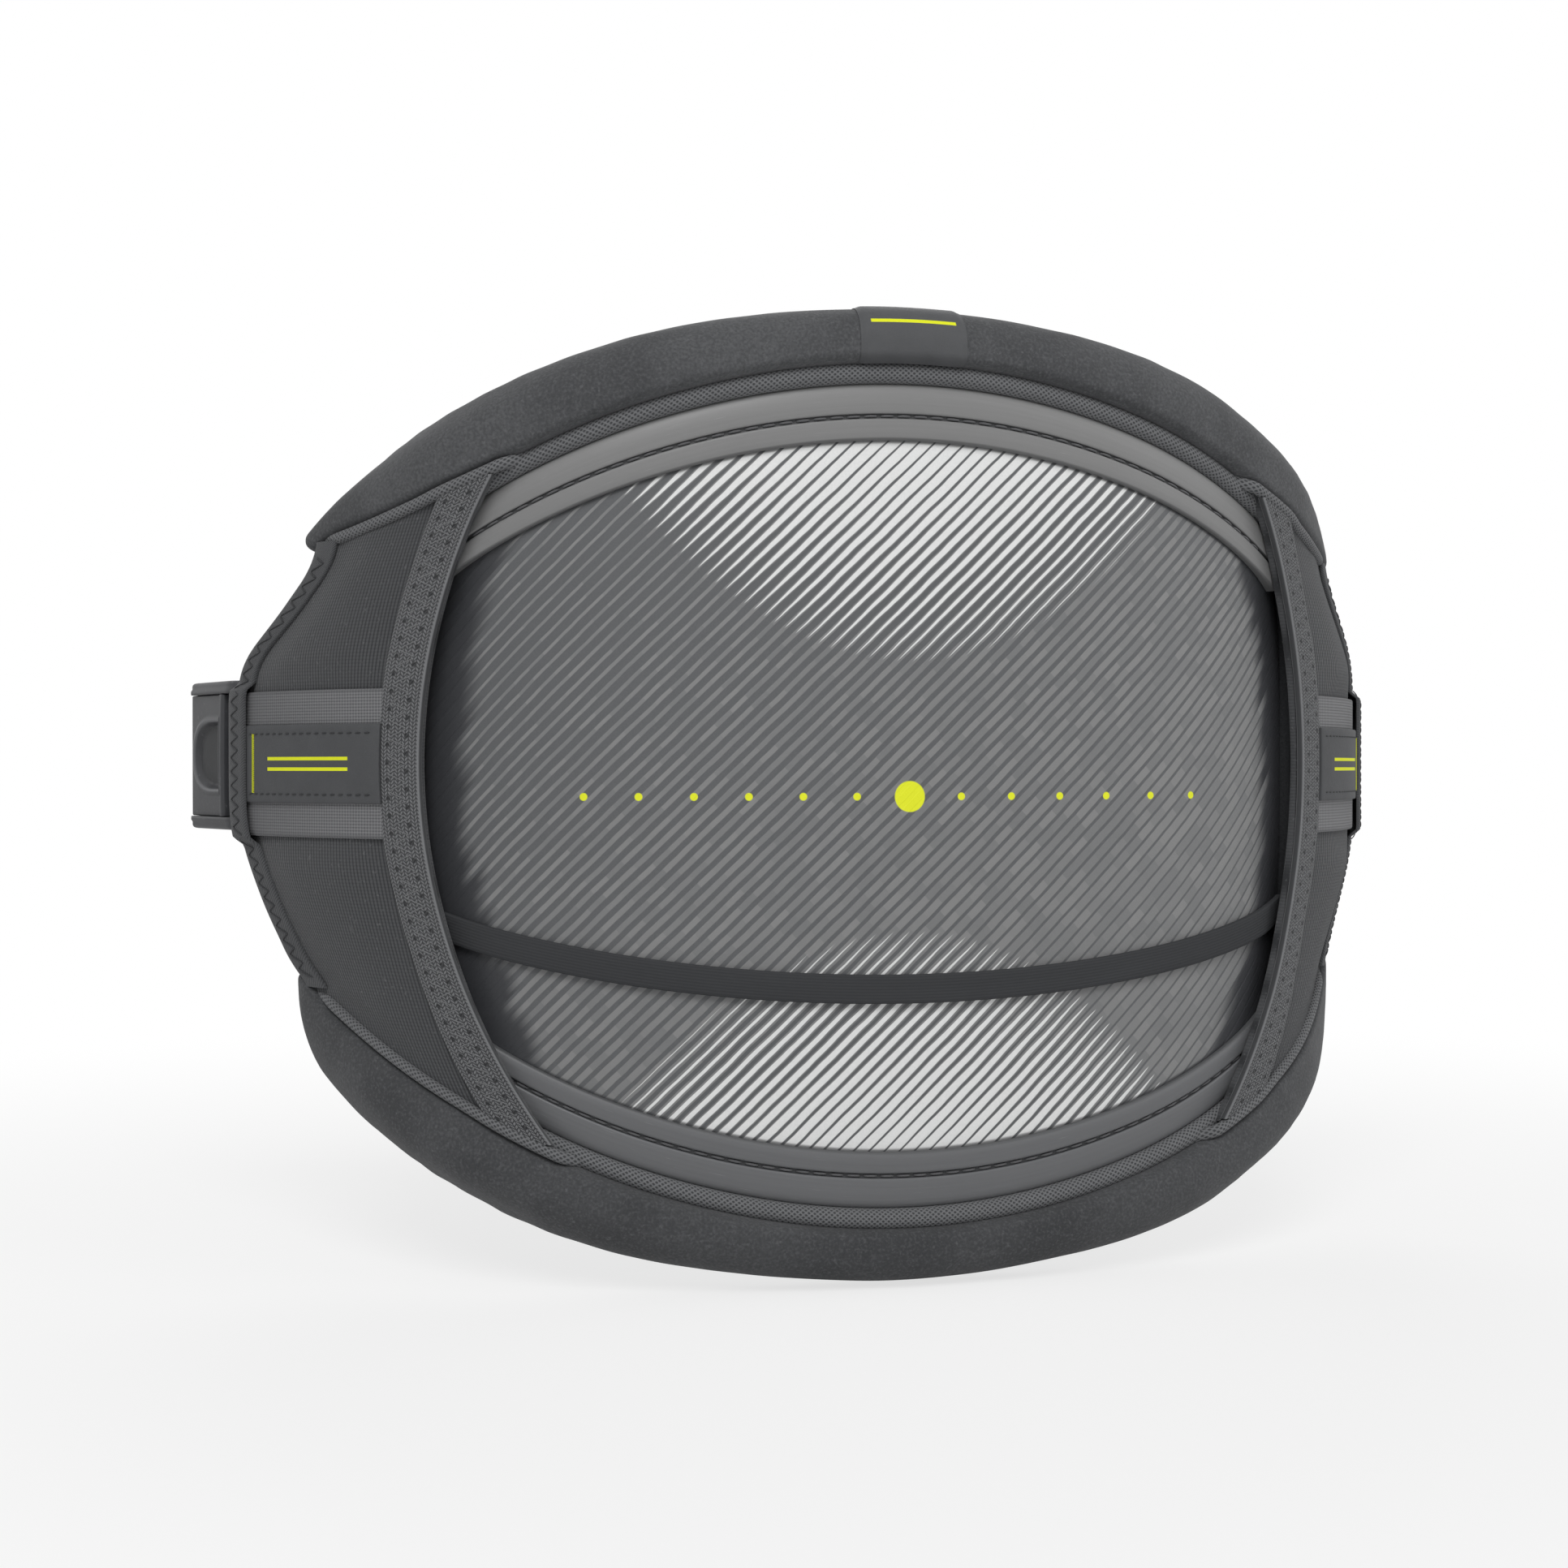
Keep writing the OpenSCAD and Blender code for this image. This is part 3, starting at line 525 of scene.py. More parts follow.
def woven_elastic():
    """Woven elastic tape: columns of slanted picks, a smooth selvedge and two rows of needle holes."""
    f = Finish("woven_elastic", roughness=0.8, specular=0.2, Sheen_Weight=0.1)
    column = f.u / 1.2
    lean = (column.floor() * 0.5).fract() - 0.25
    pick = (f.v / 1.15 + column.fract() * lean * 4).wave(1)
    thread = pick * column.wave(1).rise(0.05, 0.6)
    selvedge = f.u.fall(0.5, 0.9)
    height = thread.most(selvedge)
    hole = f.u * 0
    for index, row in enumerate(HOLE_ROWS):
        step = (f.v / HOLE_PITCH + 0.5 * index).fract() - 0.5
        near = ((step * HOLE_PITCH).power(2.0) + (f.u - row).power(2.0)).root()
        hole = hole.most(near.fall(0.45, 1.0))
    f.paint(height.rise(0.1, 0.85), tone(60), tone(126))
    f.tint(f.solid_noise(12) * 0.25, tone(88))
    f.tint(hole * 0.8, tone(40))
    # Painted shade on the tape's side face towards the shell and the pocket
    f.tint(f.u.fall(0.02, 0.2) * 0.8, tone(48))
    return f.done(height * 0.26 - hole * 0.35 + f.solid_noise(0.3) * 0.06)


def binding_twill():
    """Closely woven tape with a slanted rib."""
    f = Finish("binding_tape", roughness=0.8, specular=0.18, Sheen_Weight=0.12)
    rib = (f.u + f.v * 0.8).wave(0.85)
    cross = (f.u - f.v * 1.3).wave(0.68)
    height = rib * 0.7 + cross * 0.3
    f.paint(height.rise(0.1, 0.9), tone(58), tone(92))
    f.tint(f.solid_noise(14) * 0.3, tone(58))
    return f.done(height * 0.16 + f.solid_noise(0.35) * 0.05)


def load_webbing():
    """Pale load webbing with a fine grid of ribs and picks."""
    f = Finish("load_webbing", roughness=0.72, specular=0.25, Sheen_Weight=0.1)
    rib = f.v.wave(0.95)
    pick = f.u.wave(1.05)
    height = rib * 0.5 + pick * 0.5
    cloud = f.noise(9, stretch=3)
    f.paint(height.rise(0.15, 0.95), tone(84), tone(134, 134, 136))
    f.tint(cloud * 0.35, tone(98))
    # Painted shade: darker towards the edge binding
    f.tint(f.u.rise(TAPE_REACH + TAPE_W + 8, WING_LEN - BINDING_W) * 0.4, tone(76))
    edge = (f.v - WEBBING_Z).abs().rise(WEBBING_W / 2 - 1.4, WEBBING_W / 2 - 0.9)
    f.tint(edge * 0.4, tone(84))
    return f.done(height * 0.2 + f.solid_noise(0.3) * 0.05)


def smooth_patch(name, dark, light, accent):
    """Smooth coated patch with a fine grain. accent(finish) gives where it is printed yellow."""
    f = Finish(name, roughness=0.62, specular=0.25)
    grain = f.solid_noise(0.45)
    f.paint(f.solid_noise(8), dark, light)
    f.tint(grain * 0.3, tone(72))
    f.tint(accent(f), ACCENT)
    return f.done(grain * 0.06 + f.solid_noise(1.8) * 0.06, 0.55 + grain * 0.2)


def strap_cloth():
    """Close matt strap cloth with faint lengthwise ribs."""
    f = Finish("strap_cloth", roughness=0.85, specular=0.12)
    rib = f.v.wave(0.9)
    f.paint(rib * 0.5 + f.noise(6, stretch=8) * 0.5, tone(56), tone(68))
    return f.done(rib * 0.05 + f.solid_noise(0.4) * 0.03)


def lining():
    """Neoprene lining on the wearer's side, with a fine crossed grain."""
    f = Finish("lining", roughness=0.85, specular=0.15, Sheen_Weight=0.15)
    grid = f.u.wave(2.2) * f.v.wave(2.2)
    f.paint(grid.rise(0.1, 0.9), tone(60, 61, 64), tone(86, 87, 90))
    f.tint(f.solid_noise(26) * 0.4, tone(72, 73, 76))
    return f.done(grid * 0.18 + f.solid_noise(0.5) * 0.05)


def foam():
    """Closed-cell foam."""
    f = Finish("foam", roughness=0.9, specular=0.15)
    cells = f.solid_noise(0.9, detail=4)
    f.paint(cells, tone(40), tone(58))
    return f.done(cells * 0.25)


def nylon(name, dark, light, dished=False):
    """Glass-filled nylon with a fine moulded grain, worn a little paler in places. A dished face has
    painted shade in its finger dish and a painted highlight along the dish's rim."""
    f = Finish(name, roughness=0.42, specular=0.4)
    grain = f.solid_noise(0.35, detail=3)
    cloud = f.solid_noise(11)
    scuff = f.solid_noise(2.2, detail=5).rise(0.62, 0.74)
    f.paint(cloud, dark, light)
    f.tint(scuff * 0.2, tone(132, 133, 136))
    if dished:
        round_part = ((f.u - DISH_X).most(0.0) / DISH_LONG).power(DISH_POWER)
        out = (round_part + (f.v.abs() / DISH_HALF).power(DISH_POWER)).power(1 / DISH_POWER)
        # Painted shade in the finger dish
        dish_shade = out.fall(0.8, 0.98) * f.u.rise(DISH_START, DISH_START + 1.2)
        f.tint(dish_shade * 0.8, tone(36))
        # Painted highlight along the dish's rim
        dish_rim_highlight = out.rise(0.97, 1.02) * out.fall(1.04, 1.12) * f.u.rise(DISH_START - 1, DISH_START)
        f.tint(dish_rim_highlight * 0.45, tone(128, 129, 132))
    return f.done(grain * 0.05, 0.34 + grain * 0.18)


def steel():
    """Turned stainless steel."""
    f = Finish("steel", roughness=0.3, specular=0.5, Metallic=1.0)
    turn = f.solid_noise(0.2, detail=3)
    f.paint(turn, tone(150, 151, 154), tone(188))
    return f.done(turn * 0.02, 0.25 + turn * 0.2)


def thread(name, dark, light):
    """Twisted sewing thread."""
    f = Finish(name, roughness=0.75, specular=0.2, Sheen_Weight=0.1)
    ply = (f.u + f.v * 0.5).wave(0.5)
    f.paint(ply * 0.7 + f.solid_noise(1.1) * 0.3, dark, light)
    return f.done(ply * 0.08)


def patch_lines(f):
    """Two plain lines along the side patch."""
    middle = (f.v - WEBBING_Z).abs()
    lines = (middle - 1.6).abs().fall(0.45, 0.6)
    return lines * f.u.rise(168, 168.4) * f.u.fall(203.6, 204)


def label_line(f):
    """One plain line across the label, high on the roll."""
    return (f.v + 4.6).abs().fall(0.45, 0.6) * f.u.abs().fall(12.6, 13)


# Lit and shaded copies of one neoprene: the bottom roll's darker tones are painted shade, as it faces down
ROLL_TOP = neoprene("neoprene_top", tone(70), tone(84))
ROLL_BOTTOM = neoprene("neoprene_bottom", tone(64), tone(76))
KNIT = knit_mesh()
# Lit and shaded copies of one moulding: the bottom rim's darker tones are painted shade, as it faces down
# and the top rim faces the light
RIM_TOP = rim_moulding("rim_moulding_top", tone(122, 122, 122), tone(138, 138, 138))
RIM_BOTTOM = rim_moulding("rim_moulding_bottom", tone(98), tone(114))
SHELL = printed_shell()
RIBBED = ribbed_knit()
ELASTIC = woven_elastic()
BINDING = binding_twill()
WEBBING = load_webbing()
PATCH = smooth_patch("side_patch", tone(74), tone(86), patch_lines)
LABEL = smooth_patch("label_patch", tone(78), tone(90), label_line)
STRAP = strap_cloth()
LINING = lining()
FOAM = foam()
BUCKLE = nylon("buckle_nylon", tone(54, 55, 58), tone(66, 67, 70))
LEVER = nylon("lever_nylon", tone(52, 53, 56), tone(64, 65, 68), dished=True)
STEEL = steel()
DARK_THREAD = thread("dark_thread", tone(48), tone(70))
GREY_THREAD = thread("grey_thread", tone(96), tone(134))
TAPE_THREAD = thread("tape_thread", tone(112), tone(150))
RIM_THREAD = thread("rim_thread", tone(84), tone(112, 112, 114))
YELLOW_THREAD = thread("yellow_thread", tone(205, 212, 20), tone(244, 250, 60))


# ---- Mesh tools ----

def rounded(corners, steps=3):
    """A closed outline through (a, b, radius) corners. Each corner with a radius becomes a curve."""
    points = []
    for i, (a, b, radius) in enumerate(corners):
        here = Vector((a, b))
        if radius <= 0:
            points.append((a, b))
            continue
        before = Vector(corners[i - 1][:2]) - here
        after = Vector(corners[(i + 1) % len(corners)][:2]) - here
        start = here + before * min(0.5, radius / max(before.length, 1e-6))
        end = here + after * min(0.5, radius / max(after.length, 1e-6))
        for k in range(steps + 1):
            t = k / steps
            points.append(tuple(start * (1 - t) ** 2 + here * 2 * t * (1 - t) + end * t * t))
    return points


def slab(a0, a1, low, high, count, edge):
    """Outline of a layer from a0 to a1 between the faces low(a) and high(a), with rounded edges."""
    cut = edge * 0.3
    run = spread(a0 + edge, a1 - edge, count)

    def end(a, inwards):
        """Down over an end, from the high face to the low one."""
        top, bottom = high(a), low(a)
        return [(a + cut * inwards, top - cut), (a, top - edge), (a, bottom + edge),
                (a + cut * inwards, bottom + cut)]

    upper, lower = [(a, high(a)) for a in run], [(a, low(a)) for a in reversed(run)]
    return upper + end(a1, -1) + lower + end(a0, 1)[::-1]


def girth(points):
    """Length round a closed outline to each of its points, and back to the first."""
    total, run = 0, [0]
    for (a0, b0), (a1, b1) in zip(points, points[1:] + points[:1]):
        total += math.hypot(a1 - a0, b1 - b0)
        run.append(total)
    return run


def build(name, vertices, faces, corners, sharp=40):
    """A mesh object with a cloth chart, its faces turned outwards and its edges sharp past an angle."""
    mesh = bpy.data.meshes.new(name)
    mesh.from_pydata(vertices, [], faces)
    chart = mesh.uv_layers.new(name="cloth")
    flat = [value for face in corners for corner in face for value in corner]
    chart.data.foreach_set("uv", flat)
    work = bmesh.new()
    work.from_mesh(mesh)
    bmesh.ops.recalc_face_normals(work, faces=work.faces)
    work.to_mesh(mesh)
    work.free()
    mesh.shade_smooth()
    mesh.set_sharp_from_angle(angle=math.radians(sharp))
    return add_object(name, mesh)


def loft(name, steps, outline, place, chart=None, sharp=40, ring=False):
    """A closed skin through one outline for each step. place(step, a, b) puts an outline's point in
    the frame. chart(step, a, b) is its place on the cloth, which otherwise runs along the steps and
    round the outline. A ring joins its last outline to its first."""
    vertices, charts, side = [], [], 0
    for t in steps:
        points = outline(t)
        side = len(points)
        vertices += [place(t, a, b) for a, b in points]
        around = points + points[:1]
        charts.append([chart(t, a, b) if chart else (t, run) for (a, b), run in zip(around, girth(points))])
    faces, corners = [], []
    last = len(steps) - 1
    for i in range(last + ring):
        next_i = (i + 1) % len(steps)
        for j in range(side):
            k = (j + 1) % side
            faces.append((i * side + j, i * side + k, next_i * side + k, next_i * side + j))
            corners.append((charts[i][j], charts[i][j + 1], charts[next_i][j + 1], charts[next_i][j]))
    for i in () if ring else (0, last):
        faces.append(tuple(i * side + j for j in range(side)))
        corners.append(tuple(charts[i][:side]))
    return build(name, vertices, faces, corners, sharp)


def join(pieces):
    """One piece of several, under the first one's name."""
    with bpy.context.temp_override(active_object=pieces[0], selected_editable_objects=pieces):
        bpy.ops.object.join()
    return pieces[0]


def settle(piece, material, stands_for=(), body="harness"):
    """Gives a piece its material and the body it rides on, and hides the CAD nodes it stands for."""
    piece.data.materials.append(material)
    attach(piece, body)
    if stands_for:
        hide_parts(*stands_for)
    return piece


STITCH_SIDES, STITCH_DIP = 6, 0.25


def stitches(name, pairs, radius, material):
    """One piece of sewn thread: a small arched tube from a to b for each (a, b, out) of points and
    outward directions in metres."""
    vertices, faces, corners = [], [], []
    shape = [(0, -1), (0.1, 0.1), (0.3, 0.8), (0.5, 1), (0.7, 0.8), (0.9, 0.1), (1, -1)]
    for a, b, out in pairs:
        base = len(vertices)
        along = (b - a).normalized()
        across = along.cross(out).normalized()
        length = (b - a).length / MM
        for i, (t, lift) in enumerate(shape):
            middle = a.lerp(b, t) + out * (radius if lift > 0 else STITCH_DIP) * lift * MM
            r = radius * MM * (0.6 if i in (0, len(shape) - 1) else 1)
            vertices += [middle + across * (r * math.cos(turn)) + out * (r * math.sin(turn))
                         for turn in full_turn(STITCH_SIDES)]
        for i in range(len(shape) - 1):
            for j in range(STITCH_SIDES):
                k = (j + 1) % STITCH_SIDES
                low, high = base + i * STITCH_SIDES, base + (i + 1) * STITCH_SIDES
                faces.append((low + j, low + k, high + k, high + j))
                u0, u1 = shape[i][0] * length, shape[i + 1][0] * length
                corners.append(((u0, j), (u0, j + 1), (u1, j + 1), (u1, j)))
        for end in (0, len(shape) - 1):
            faces.append(tuple(base + end * STITCH_SIDES + j for j in range(STITCH_SIDES)))
            corners.append(tuple((end, j) for j in range(STITCH_SIDES)))
    return settle(build(name, vertices, faces, corners, sharp=80), material)


def run_of_stitches(points, share):
    """(a, b, out) for each step along a line of (s, n, z) points: the thread shows on this share of
    the step."""
    pairs = []
    for (s0, n0, z0), (s1, n1, z1) in zip(points, points[1:]):
        a, b = at(s0, n0, z0), at(s1, n1, z1)
        middle = a.lerp(b, 0.5)
        half = (b - a) * (share / 2)
        pairs.append((middle - half, middle + half, outward((s0 + s1) / 2)))
    return pairs


def zigzag(low, high, pitch_at, place):
    """Thread that goes back and forth between two rows from height low to high. place(row, z) is a
    row's point at height z, and pitch_at(z) the rise of a whole zigzag."""
    line, z = [], low
    while z < high:
        pitch = pitch_at(z)
        line += [place(0, z), place(1, z + pitch / 2)]
        z += pitch
    return run_of_stitches(line, 0.98)


def inwards(stitch_run):
    return [(a, b, -out) for a, b, out in stitch_run]


# ---- Padding under pressure ----

PRESSURE, PRESS_FRAMES, SURE_SHARE, TOP_EXCESS, NEAREST = 4.0, 20, 0.97, 1.15, 12


class Swell:
    """How a sewn pad swells over its foam, from a cloth simulation of the closed pad, laid out flat
    in s, n and z. held(s, n, z) is where seams, tapes and boards keep it from moving."""

    def __init__(self, name, steps, outline, flat, held, most, voxel=5.0):
        self.tree = None
        pad = loft(name, steps, outline, lambda *point: Vector(flat(*point)) * MM)
        self.remesh(pad, voxel)
        start = [Vector(v.co) for v in pad.data.vertices]
        group = pad.vertex_groups.new(name="held")
        group.add([i for i, co in enumerate(start) if held(*(co / MM))], 1.0, "REPLACE")
        end = self.press(pad)
        moves = [(b - a) / MM for a, b in zip(start, end)]
        reach = sorted(move.length for move in moves)[int(len(moves) * SURE_SHARE)]
        self.moves = [move * (most / max(reach, 0.01)) for move in moves]
        limit = TOP_EXCESS * most
        self.moves = [move * min(1, limit / max(move.length, 0.01)) for move in self.moves]
        self.tree = kdtree.KDTree(len(start))
        for i, co in enumerate(start):
            self.tree.insert(co / MM, i)
        self.tree.balance()
        self.spread = voxel * 0.9
        mesh = pad.data
        bpy.data.objects.remove(pad)
        bpy.data.meshes.remove(mesh)

    @staticmethod
    def remesh(pad, voxel):
        cells = pad.modifiers.new("cells", "REMESH")
        cells.mode, cells.voxel_size = "VOXEL", voxel * MM
        shape = bpy.context.evaluated_depsgraph_get()
        mesh = bpy.data.meshes.new_from_object(pad.evaluated_get(shape))
        pad.modifiers.clear()
        old, pad.data = pad.data, mesh
        bpy.data.meshes.remove(old)

    @staticmethod
    def press(pad):
        cloth = pad.modifiers.new("cloth", "CLOTH")
        cloth.settings.quality = 5
        cloth.settings.mass = 0.3
        cloth.settings.tension_stiffness = cloth.settings.compression_stiffness = 15
        cloth.settings.bending_stiffness = 0.5
        cloth.settings.use_pressure = True
        cloth.settings.uniform_pressure_force = PRESSURE
        cloth.settings.vertex_group_mass = "held"
        cloth.settings.effector_weights.gravity = 0
        cloth.point_cache.frame_start, cloth.point_cache.frame_end = 1, PRESS_FRAMES
        scene = bpy.context.scene
        for frame_number in range(1, PRESS_FRAMES + 1):
            scene.frame_set(frame_number)
            shape = bpy.context.evaluated_depsgraph_get()
            end = [Vector(v.co) for v in pad.evaluated_get(shape).data.vertices]
        pad.modifiers.clear()
        scene.frame_set(1)
        return end

    def move(self, s, n, z):
        """[along s, n, z] by which a point of the pad's skin moves, in mm."""
        total, weight = Vector((0, 0, 0)), 0
        if not self.tree:
            return total
        for _, i, gap in self.tree.find_n(Vector((s, n, z)), NEAREST):
            w = math.exp(-(gap / self.spread) ** 2) + 1e-9
            total += self.moves[i] * w
            weight += w
        return total / weight


# ---- Back shell ----

def make_shell():
    """The moulded back shell."""
    def outline(s):
        rows = spread(-plate_z(s), plate_z(s), 110)
        front = [(face_n(s, z), z) for z in rows]
        return front + [(n - SHELL_T, z) for n, z in reversed(front)]

    piece = loft("shell_panel", spread(-SHELL_HALF_LEN, SHELL_HALF_LEN, 148), outline, at,
                 chart=lambda s, n, z: (s, z))
    settle(piece, SHELL, ["shell_plate"])


def rim_outline(s):
    """A rim's section: two crowned bands with the stitched groove between them, and the lip that
    wraps the plate's edge."""
    low = face_n(s, rim_z(s) - RIM_W) + LAY
    lip = face_n(s, rim_z(s) - PLATE_INSET) + LAY
    corners = [
        (low, -RIM_W, 0), (2.5, -RIM_W, 0.8), (3.0, -15.2, 1.2), (3.0, -12.5, 1.5),
        (2.9, GROOVE_Z - 0.85, 0.5), (GROOVE_N, GROOVE_Z - 0.6, 0.15), (GROOVE_N, GROOVE_Z + 0.5, 0.15),
        (2.8, GROOVE_Z + 0.7, 0.5), (2.95, -7.6, 1.5), (2.9, -4.2, 2), (2.3, -1.4, 1.2), (1.0, 0, 0.8),
        (-SHELL_T, 0, 0.3), (-SHELL_T, LAY - PLATE_INSET, 0), (lip, LAY - PLATE_INSET, 0)]
    return [(n, rim_z(s) + z) for n, z in rounded(corners)]


def make_rims():
    """The two rim mouldings, with the stitches in their grooves."""
    half = RIM_HALF_LEN + 5
    for roll, material in ((TOP, RIM_TOP), (BOTTOM, RIM_BOTTOM)):
        name = roll.word + "_rim"
        piece = loft(name + "_moulding", spread(-half, half, 137), rim_outline,
                     lambda s, n, z: at(s, n, z * roll.up), chart=lambda s, n, z: (s, z - rim_z(s)))
        settle(piece, material, [name])
        points, s, pitch = [], -RIM_HALF_LEN + 2, 5.1
        while s < RIM_HALF_LEN - 2:
            points.append((s, GROOVE_N + 0.05, (rim_z(s) + GROOVE_Z) * roll.up))
            s += pitch / math.sqrt(1 + (s / RIM_ARCH_RADIUS) ** 2)
        stitches(name + "_stitches", run_of_stitches(points, 0.82), 0.4, RIM_THREAD)


def make_lumbar_foam():
    """The hidden foam between shell and liner, with softened edges."""
    inset, half_len = 4, SHELL_HALF_LEN - 2

    def lumbar(s):
        high = plate_z(s) + PLATE_INSET - inset
        low_n, high_n = inner_n(s) + LINER_T + LAY, -EDGE_SINK - SHELL_T - LAY
        return slab(-high, high, lambda z: low_n, lambda z: high_n, 10, 2.5)

    piece = loft("lumbar_foam_core", spread(-half_len, half_len, 48), lumbar,
                 lambda s, z, n: at(s, n, z), chart=lambda s, z, n: (s, z))
    settle(piece, FOAM, ["lumbar_foam"])


def make_wing_filling(side, word):
    """The hidden foam and stiffener board of a wing."""
    foam_start, foam_end = SHELL_HALF_LEN + 2, WING_LEN + BAR_X - LEG_REACH - 2
    board_start, board_end = foam_start + 2, WING_LEN - 31
    board_n = POCKET_H - LAY - BOARD_T

    def layer(s, margin, low_n, high_n, count, edge):
        return slab(wing_edge(s, BOTTOM) + margin, wing_edge(s, TOP) - margin,
                    lambda z: low_n, lambda z: high_n, count, edge)

    def pad(s):
        return layer(s, 6, inner_n(s) + LINER_T + LAY, board_n - LAY, 10, 1.5)

    def board(s):
        return layer(s, 8, board_n, board_n + BOARD_T, 6, 0.5)

    def skin(name, start, end, outline):
        return loft(word + name, spread(start, end, 12), outline, lambda s, z, n: at(side * s, n, z),
                    chart=lambda s, z, n: (s, z))

    foam_core = skin("_wing_foam_core", foam_start, foam_end, pad)
    settle(foam_core, FOAM, [word + "_wing_foam"])
    settle(skin("_stiffener", board_start, board_end, board), STRAP, [word + "_wing_board"])


# ---- Padded rolls, their piping and the label ----

ROLL_TUCK, ROLL_SIDES, ROLL_POWER, ROLL_OVER, ROLL_DROP, ROLL_SEAT = 2.6, 56, 0.8, 9, 3.6, 1.3


def blunt(x, power):
    """Falls from 1 to 0 as x goes from 0 to 1, on a rounded corner."""
    return max(0, 1 - max(0, x) ** power) ** (1 / power)


def roll_point(roll, s, angle, grow=0.0):
    """[n, z] of the roll's skin at an angle round its section, grown outwards by grow."""
    past = (abs(s) - roll.half_len - ROLL_OVER + ROLL_END_R) / ROLL_END_R
    high, deep = blunt(past, 2.3), blunt(past, 3.5)
    middle_n = (ROLL_PROUD + inner_n(s)) / 2
    wide = (ROLL_PROUD - inner_n(s)) / 2 * deep + grow
    # The end drops over the wing's corner
    drop = ROLL_DROP * smooth(roll.half_len - 12, roll.half_len + 4, abs(s))
    base = roll.seam(s) + SEAM_GAP
    middle_z = base + ROLL_TUCK - drop * 0.5
    tall = max(0.3, (roll.crest(s) - base - ROLL_TUCK + drop * 0.5) * high) + grow
    # Its foot sits in between the shell and the liner
    tuck = (ROLL_TUCK + ROLL_SEAT + drop * 0.5) * high + grow
    # The skin lies a little unevenly over the foam
    sway = 0.22 * math.sin(0.071 * s + 1.3) + 0.16 * math.sin(0.173 * s + angle * 2)
    sway *= math.sin(min(math.pi, max(0, angle))) * high
    bend = abs(math.cos(angle)) ** ROLL_POWER
    rise = abs(math.sin(angle)) ** ROLL_POWER
    n = middle_n + math.copysign(wide * bend, math.cos(angle))
    z = middle_z + (tall * rise if math.sin(angle) >= 0 else -tuck * rise)
    return n + sway * math.copysign(1, math.cos(angle)) * bend, z - 0.12 * rise + sway * 0.3


def roll_steps(roll, count):
    tip = roll.half_len + ROLL_OVER
    ends = [tip - ROLL_END_R + ROLL_END_R * math.sin(t) for t in spread(0, math.pi / 2, 14)]
    ends[-1] -= 0.01
    return [-t for t in reversed(ends)] + spread(-tip + 16, tip - 16, count) + ends


def swell_roll(roll):
    """The simulated swelling of a roll, which its seam along the wings and shell holds down."""
    def outline(s):
        return [roll_point(roll, s, a) for a in full_turn(ROLL_SIDES // 2)]

    def held(s, n, z):
        return z < roll.seam(s) + SEAM_GAP + 1.5

    return Swell(roll.word + "_roll_pad", roll_steps(roll, 60), outline, lambda s, n, z: (s, n, z),
                 held, roll.swell)


def on_roll(roll, swell):
    """Places a point of a roll's skin with its swelling, which the middle shows least."""
    def place(s, n, z):
        shift = swell.move(s, n, z) * (0.35 + 0.65 * smooth(0, 80, abs(s)))
        return at(s, n + shift.y, (z + shift.z) * roll.up)

    return place


def make_rolls():
    """The padded rolls round the top and bottom edges."""
    for roll, material in ((TOP, ROLL_TOP), (BOTTOM, ROLL_BOTTOM)):
        def outline(s):
            return [roll_point(roll, s, a) for a in full_turn(ROLL_SIDES)]

        name = roll.word + "_roll"
        place = on_roll(roll, swell_roll(roll))
        piece = loft(name + "_cover", roll_steps(roll, 176), outline, place, sharp=75)
        settle(piece, material, [name])
        if roll is TOP:
            make_label(place)


def make_label(place):
    """The bare label, folded over the top roll from its back down into the crease at the piping."""
    sweep = [math.radians(a) for a in spread(LABEL_SWEEP, -48, 52)]

    def outline(s):
        edge = 0.55 * smooth(LABEL_W / 2 - 2, LABEL_W / 2, abs(s))
        inside = [roll_point(TOP, s, a, LAY * 0.3) for a in reversed(sweep)]
        outside = [roll_point(TOP, s, a, LABEL_T - edge) for a in sweep]
        return outside + inside

    half = LABEL_W / 2
    rim = [0, 0.2, 0.5, 0.9, 1.4, 2]
    steps = [d - half for d in rim] + spread(3 - half, half - 3, 16) + [half - d for d in reversed(rim)]
    piece = loft("top_label_patch", steps, outline, place, chart=lambda s, n, z: (s, z - TOP.crest(s)))
    settle(piece, LABEL, ["top_label"])


WELT_SIDES, PIPING_R = 16, 1.9


def welt_ring(n, z, radius):
    return [(n - radius * math.cos(a), z + radius * math.sin(a)) for a in full_turn(WELT_SIDES)]


def make_welts():
    """The piping fills the crease between rim and roll, and runs in under the wings' covers."""
    for roll in ROLLS:
        name, tape_at = roll.word + "_welt", tape_s(roll.up * roll.tape_end)

        def outline(s):
            # It fills the whole crease, and a little more, so that no light comes through
            middle, radius = (rim_z(s) + roll.seam(s)) / 2, (roll.seam(s) - rim_z(s)) / 2 + 0.25
            return welt_ring(WELT_N, middle, radius)

        half = tape_at + 14
        piece = loft(name + "_piping", spread(-half, half, 150), outline,
                     lambda s, n, z: at(s, n, z * roll.up), sharp=75)
        settle(piece, KNIT, [name])
        for side, word in SIDES:
            make_wing_piping(roll, side, word)


